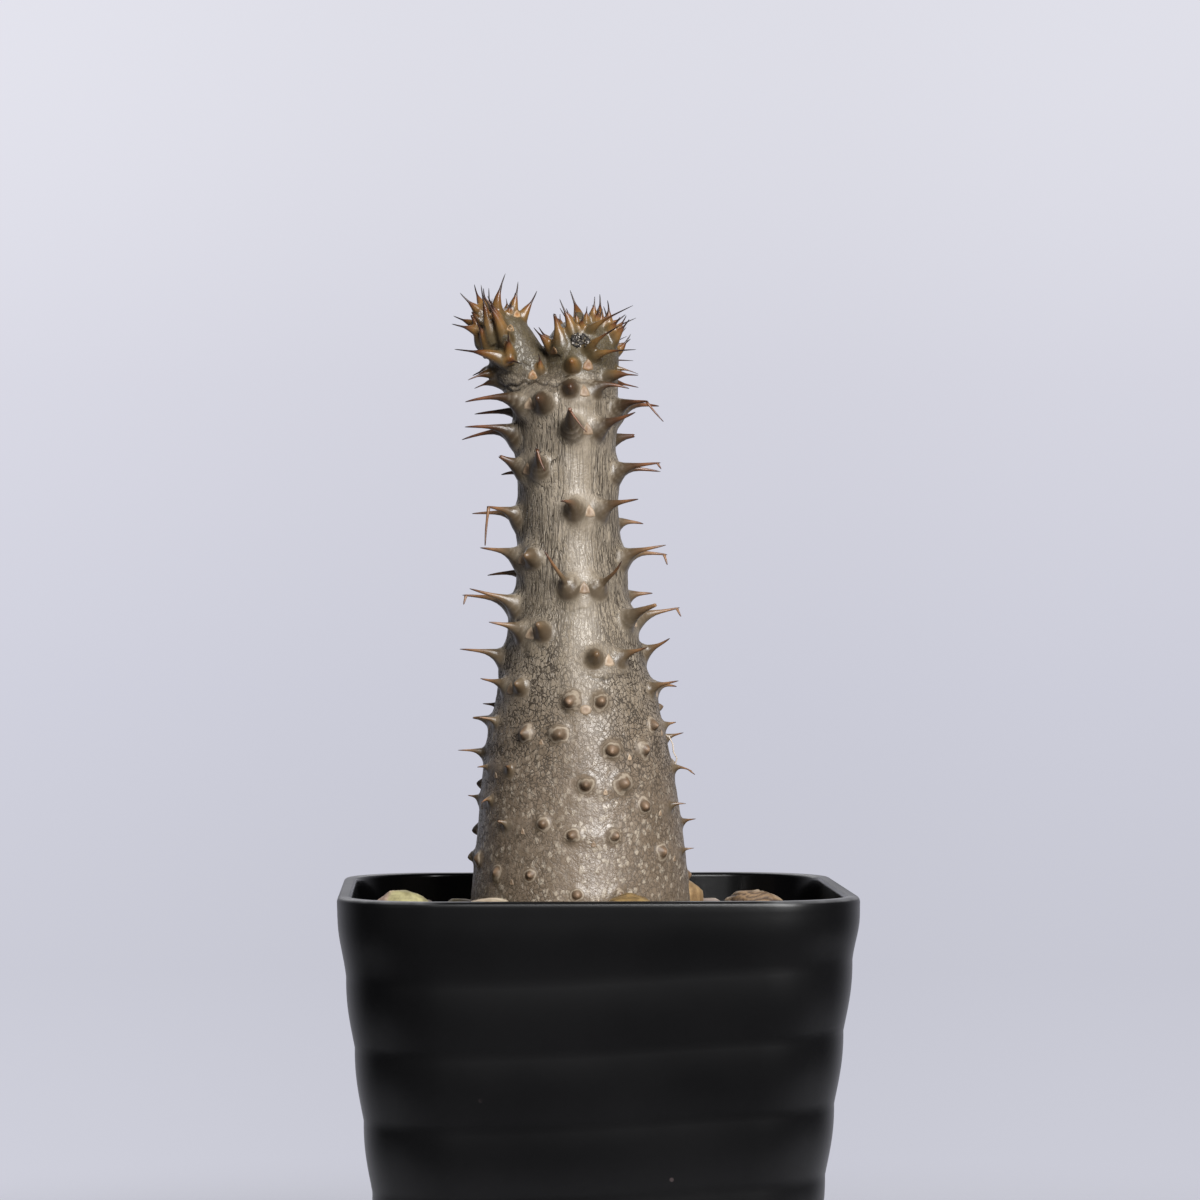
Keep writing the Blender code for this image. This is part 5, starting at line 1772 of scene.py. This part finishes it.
# Studio

studio = {
    "focal": 4420.0,  # pixels of a picture 1200 wide
    "pictureWidth": 1200.0,
    "sensor": 36.0,
    "distance": 1.050,
    "turn": 2.0,
    "aboveRim": 0.062,
    "aim": (7.0, 25.0),  # pixels right and up
    # what the camera sees behind, from low to high
    "backdrop": (
        (0.0, (0.585, 0.590, 0.665)), (0.12, (0.560, 0.565, 0.640)), (0.4, (0.595, 0.600, 0.685)),
        (0.75, (0.655, 0.655, 0.735)), (1.0, (0.730, 0.730, 0.800)),
    ),
    "backdropSpan": (-0.14, 0.15),  # the backdrop's foot and top, as the upward part of a view direction
    "leftShade": (-0.13, 0.02, 1.07, 1.0),  # from and to which part to the right, and the brightness at both
    "rightShade": (0.08, 0.15, 1.0, 1.02),
    "frontGlow": (0.022, 0.022, 0.024),
    "backGlow": (0.46, 0.46, 0.51),
    "floorColour": (0.60, 0.60, 0.64),
    "floorRadius": 0.8,
    "floorFade": (0.09, 0.44),
    "floorFront": (-0.2, -0.06),  # in front of the pot it ends sooner, so that the glaze mirrors none of it
    "lightAim": (0.0, 0.0, 0.15),
    # degrees to the right of the camera and up, distance, width and height, power
    "lights": {
        "key": (22, 30, 0.95, (0.4, 0.7), 19.0),
        "fill": (-45, 15, 1.3, (0.8, 0.8), 0.7),
        "back": (190, 35, 1.3, (0.9, 0.9), 2.5),
    },
}


def buildCamera():
    turn = math.radians(studio["turn"])
    look = Vector((math.sin(turn), math.cos(turn), 0.0))
    right = Vector((math.cos(turn), -math.sin(turn), 0.0))
    camera = bpy.data.objects.new("camera", bpy.data.cameras.new("camera"))
    bpy.context.scene.collection.objects.link(camera)
    camera.location = -look * studio["distance"] + Vector((0, 0, rimZ + studio["aboveRim"]))
    aimRight, aimUp = (pixels / studio["focal"] for pixels in studio["aim"])
    aim = look + right * aimRight + Vector((0, 0, aimUp))
    camera.rotation_euler = aim.to_track_quat("-Z", "Y").to_euler()
    camera.data.sensor_width = studio["sensor"]
    camera.data.lens = studio["sensor"] * studio["focal"] / studio["pictureWidth"]
    bpy.context.scene.camera = camera


def buildLight(name, azimuth, elevation, distance, size, power):
    a, e = math.radians(azimuth), math.radians(elevation)
    away = Vector((math.sin(a) * math.cos(e), -math.cos(a) * math.cos(e), math.sin(e)))
    lamp = bpy.data.lights.new(name, "AREA")
    lamp.shape, (lamp.size, lamp.size_y), lamp.energy = "RECTANGLE", size, power
    holder = bpy.data.objects.new(name, lamp)
    bpy.context.scene.collection.objects.link(holder)
    holder.location = Vector(studio["lightAim"]) + away * distance
    holder.rotation_euler = away.to_track_quat("Z", "Y").to_euler()


def buildWorld():
    world = bpy.data.worlds.new("studio")
    bpy.context.scene.world = world
    world.use_nodes = True
    tree = world.node_tree
    right, behind, up = splitVector(tree, addNode(tree, "ShaderNodeTexCoord").outputs["Generated"])
    seen = colourRamp(tree, remap(tree, up, *studio["backdropSpan"]), studio["backdrop"])
    bright = multiply(tree, *(remap(tree, right, *studio[name]) for name in ("leftShade", "rightShade")))
    seen = addNode(tree, "ShaderNodeVectorMath", {0: seen, "Scale": bright}, operation="SCALE").outputs[0]
    lit = blendColours(tree, remap(tree, behind, 0.1, 0.85), studio["frontGlow"], studio["backGlow"])
    rays = addNode(tree, "ShaderNodeLightPath").outputs["Is Camera Ray"]
    tree.links.new(blendColours(tree, rays, lit, seen), tree.nodes["Background"].inputs["Color"])


def buildFloor():
    deselectAll()
    bpy.ops.mesh.primitive_circle_add(
        vertices=96, radius=studio["floorRadius"], fill_type="NGON", location=(0, 0, -0.0004)
    )
    floor = bpy.context.object
    floor.name = floor.data.name = "studioFloor"
    bpy.ops.object.transform_apply(location=True)
    material, tree, shader, place = newMaterial("paleFloor", 0.7, 0.2)
    shader.inputs["Base Color"].default_value = (*studio["floorColour"], 1.0)
    away = addNode(tree, "ShaderNodeVectorMath", {0: place}, operation="LENGTH").outputs["Value"]
    there = remap(tree, away, *studio["floorFade"], 1.0, 0.0)
    there = multiply(tree, there, remap(tree, splitVector(tree, place)[1], *studio["floorFront"]))
    tree.links.new(there, shader.inputs["Alpha"])
    setFinish(floor, material)


buildCamera()
for name, settings in studio["lights"].items():
    buildLight(name, *settings)
buildWorld()
buildFloor()
bpy.context.scene.view_settings.view_transform = "Standard"
print("stage: studio")
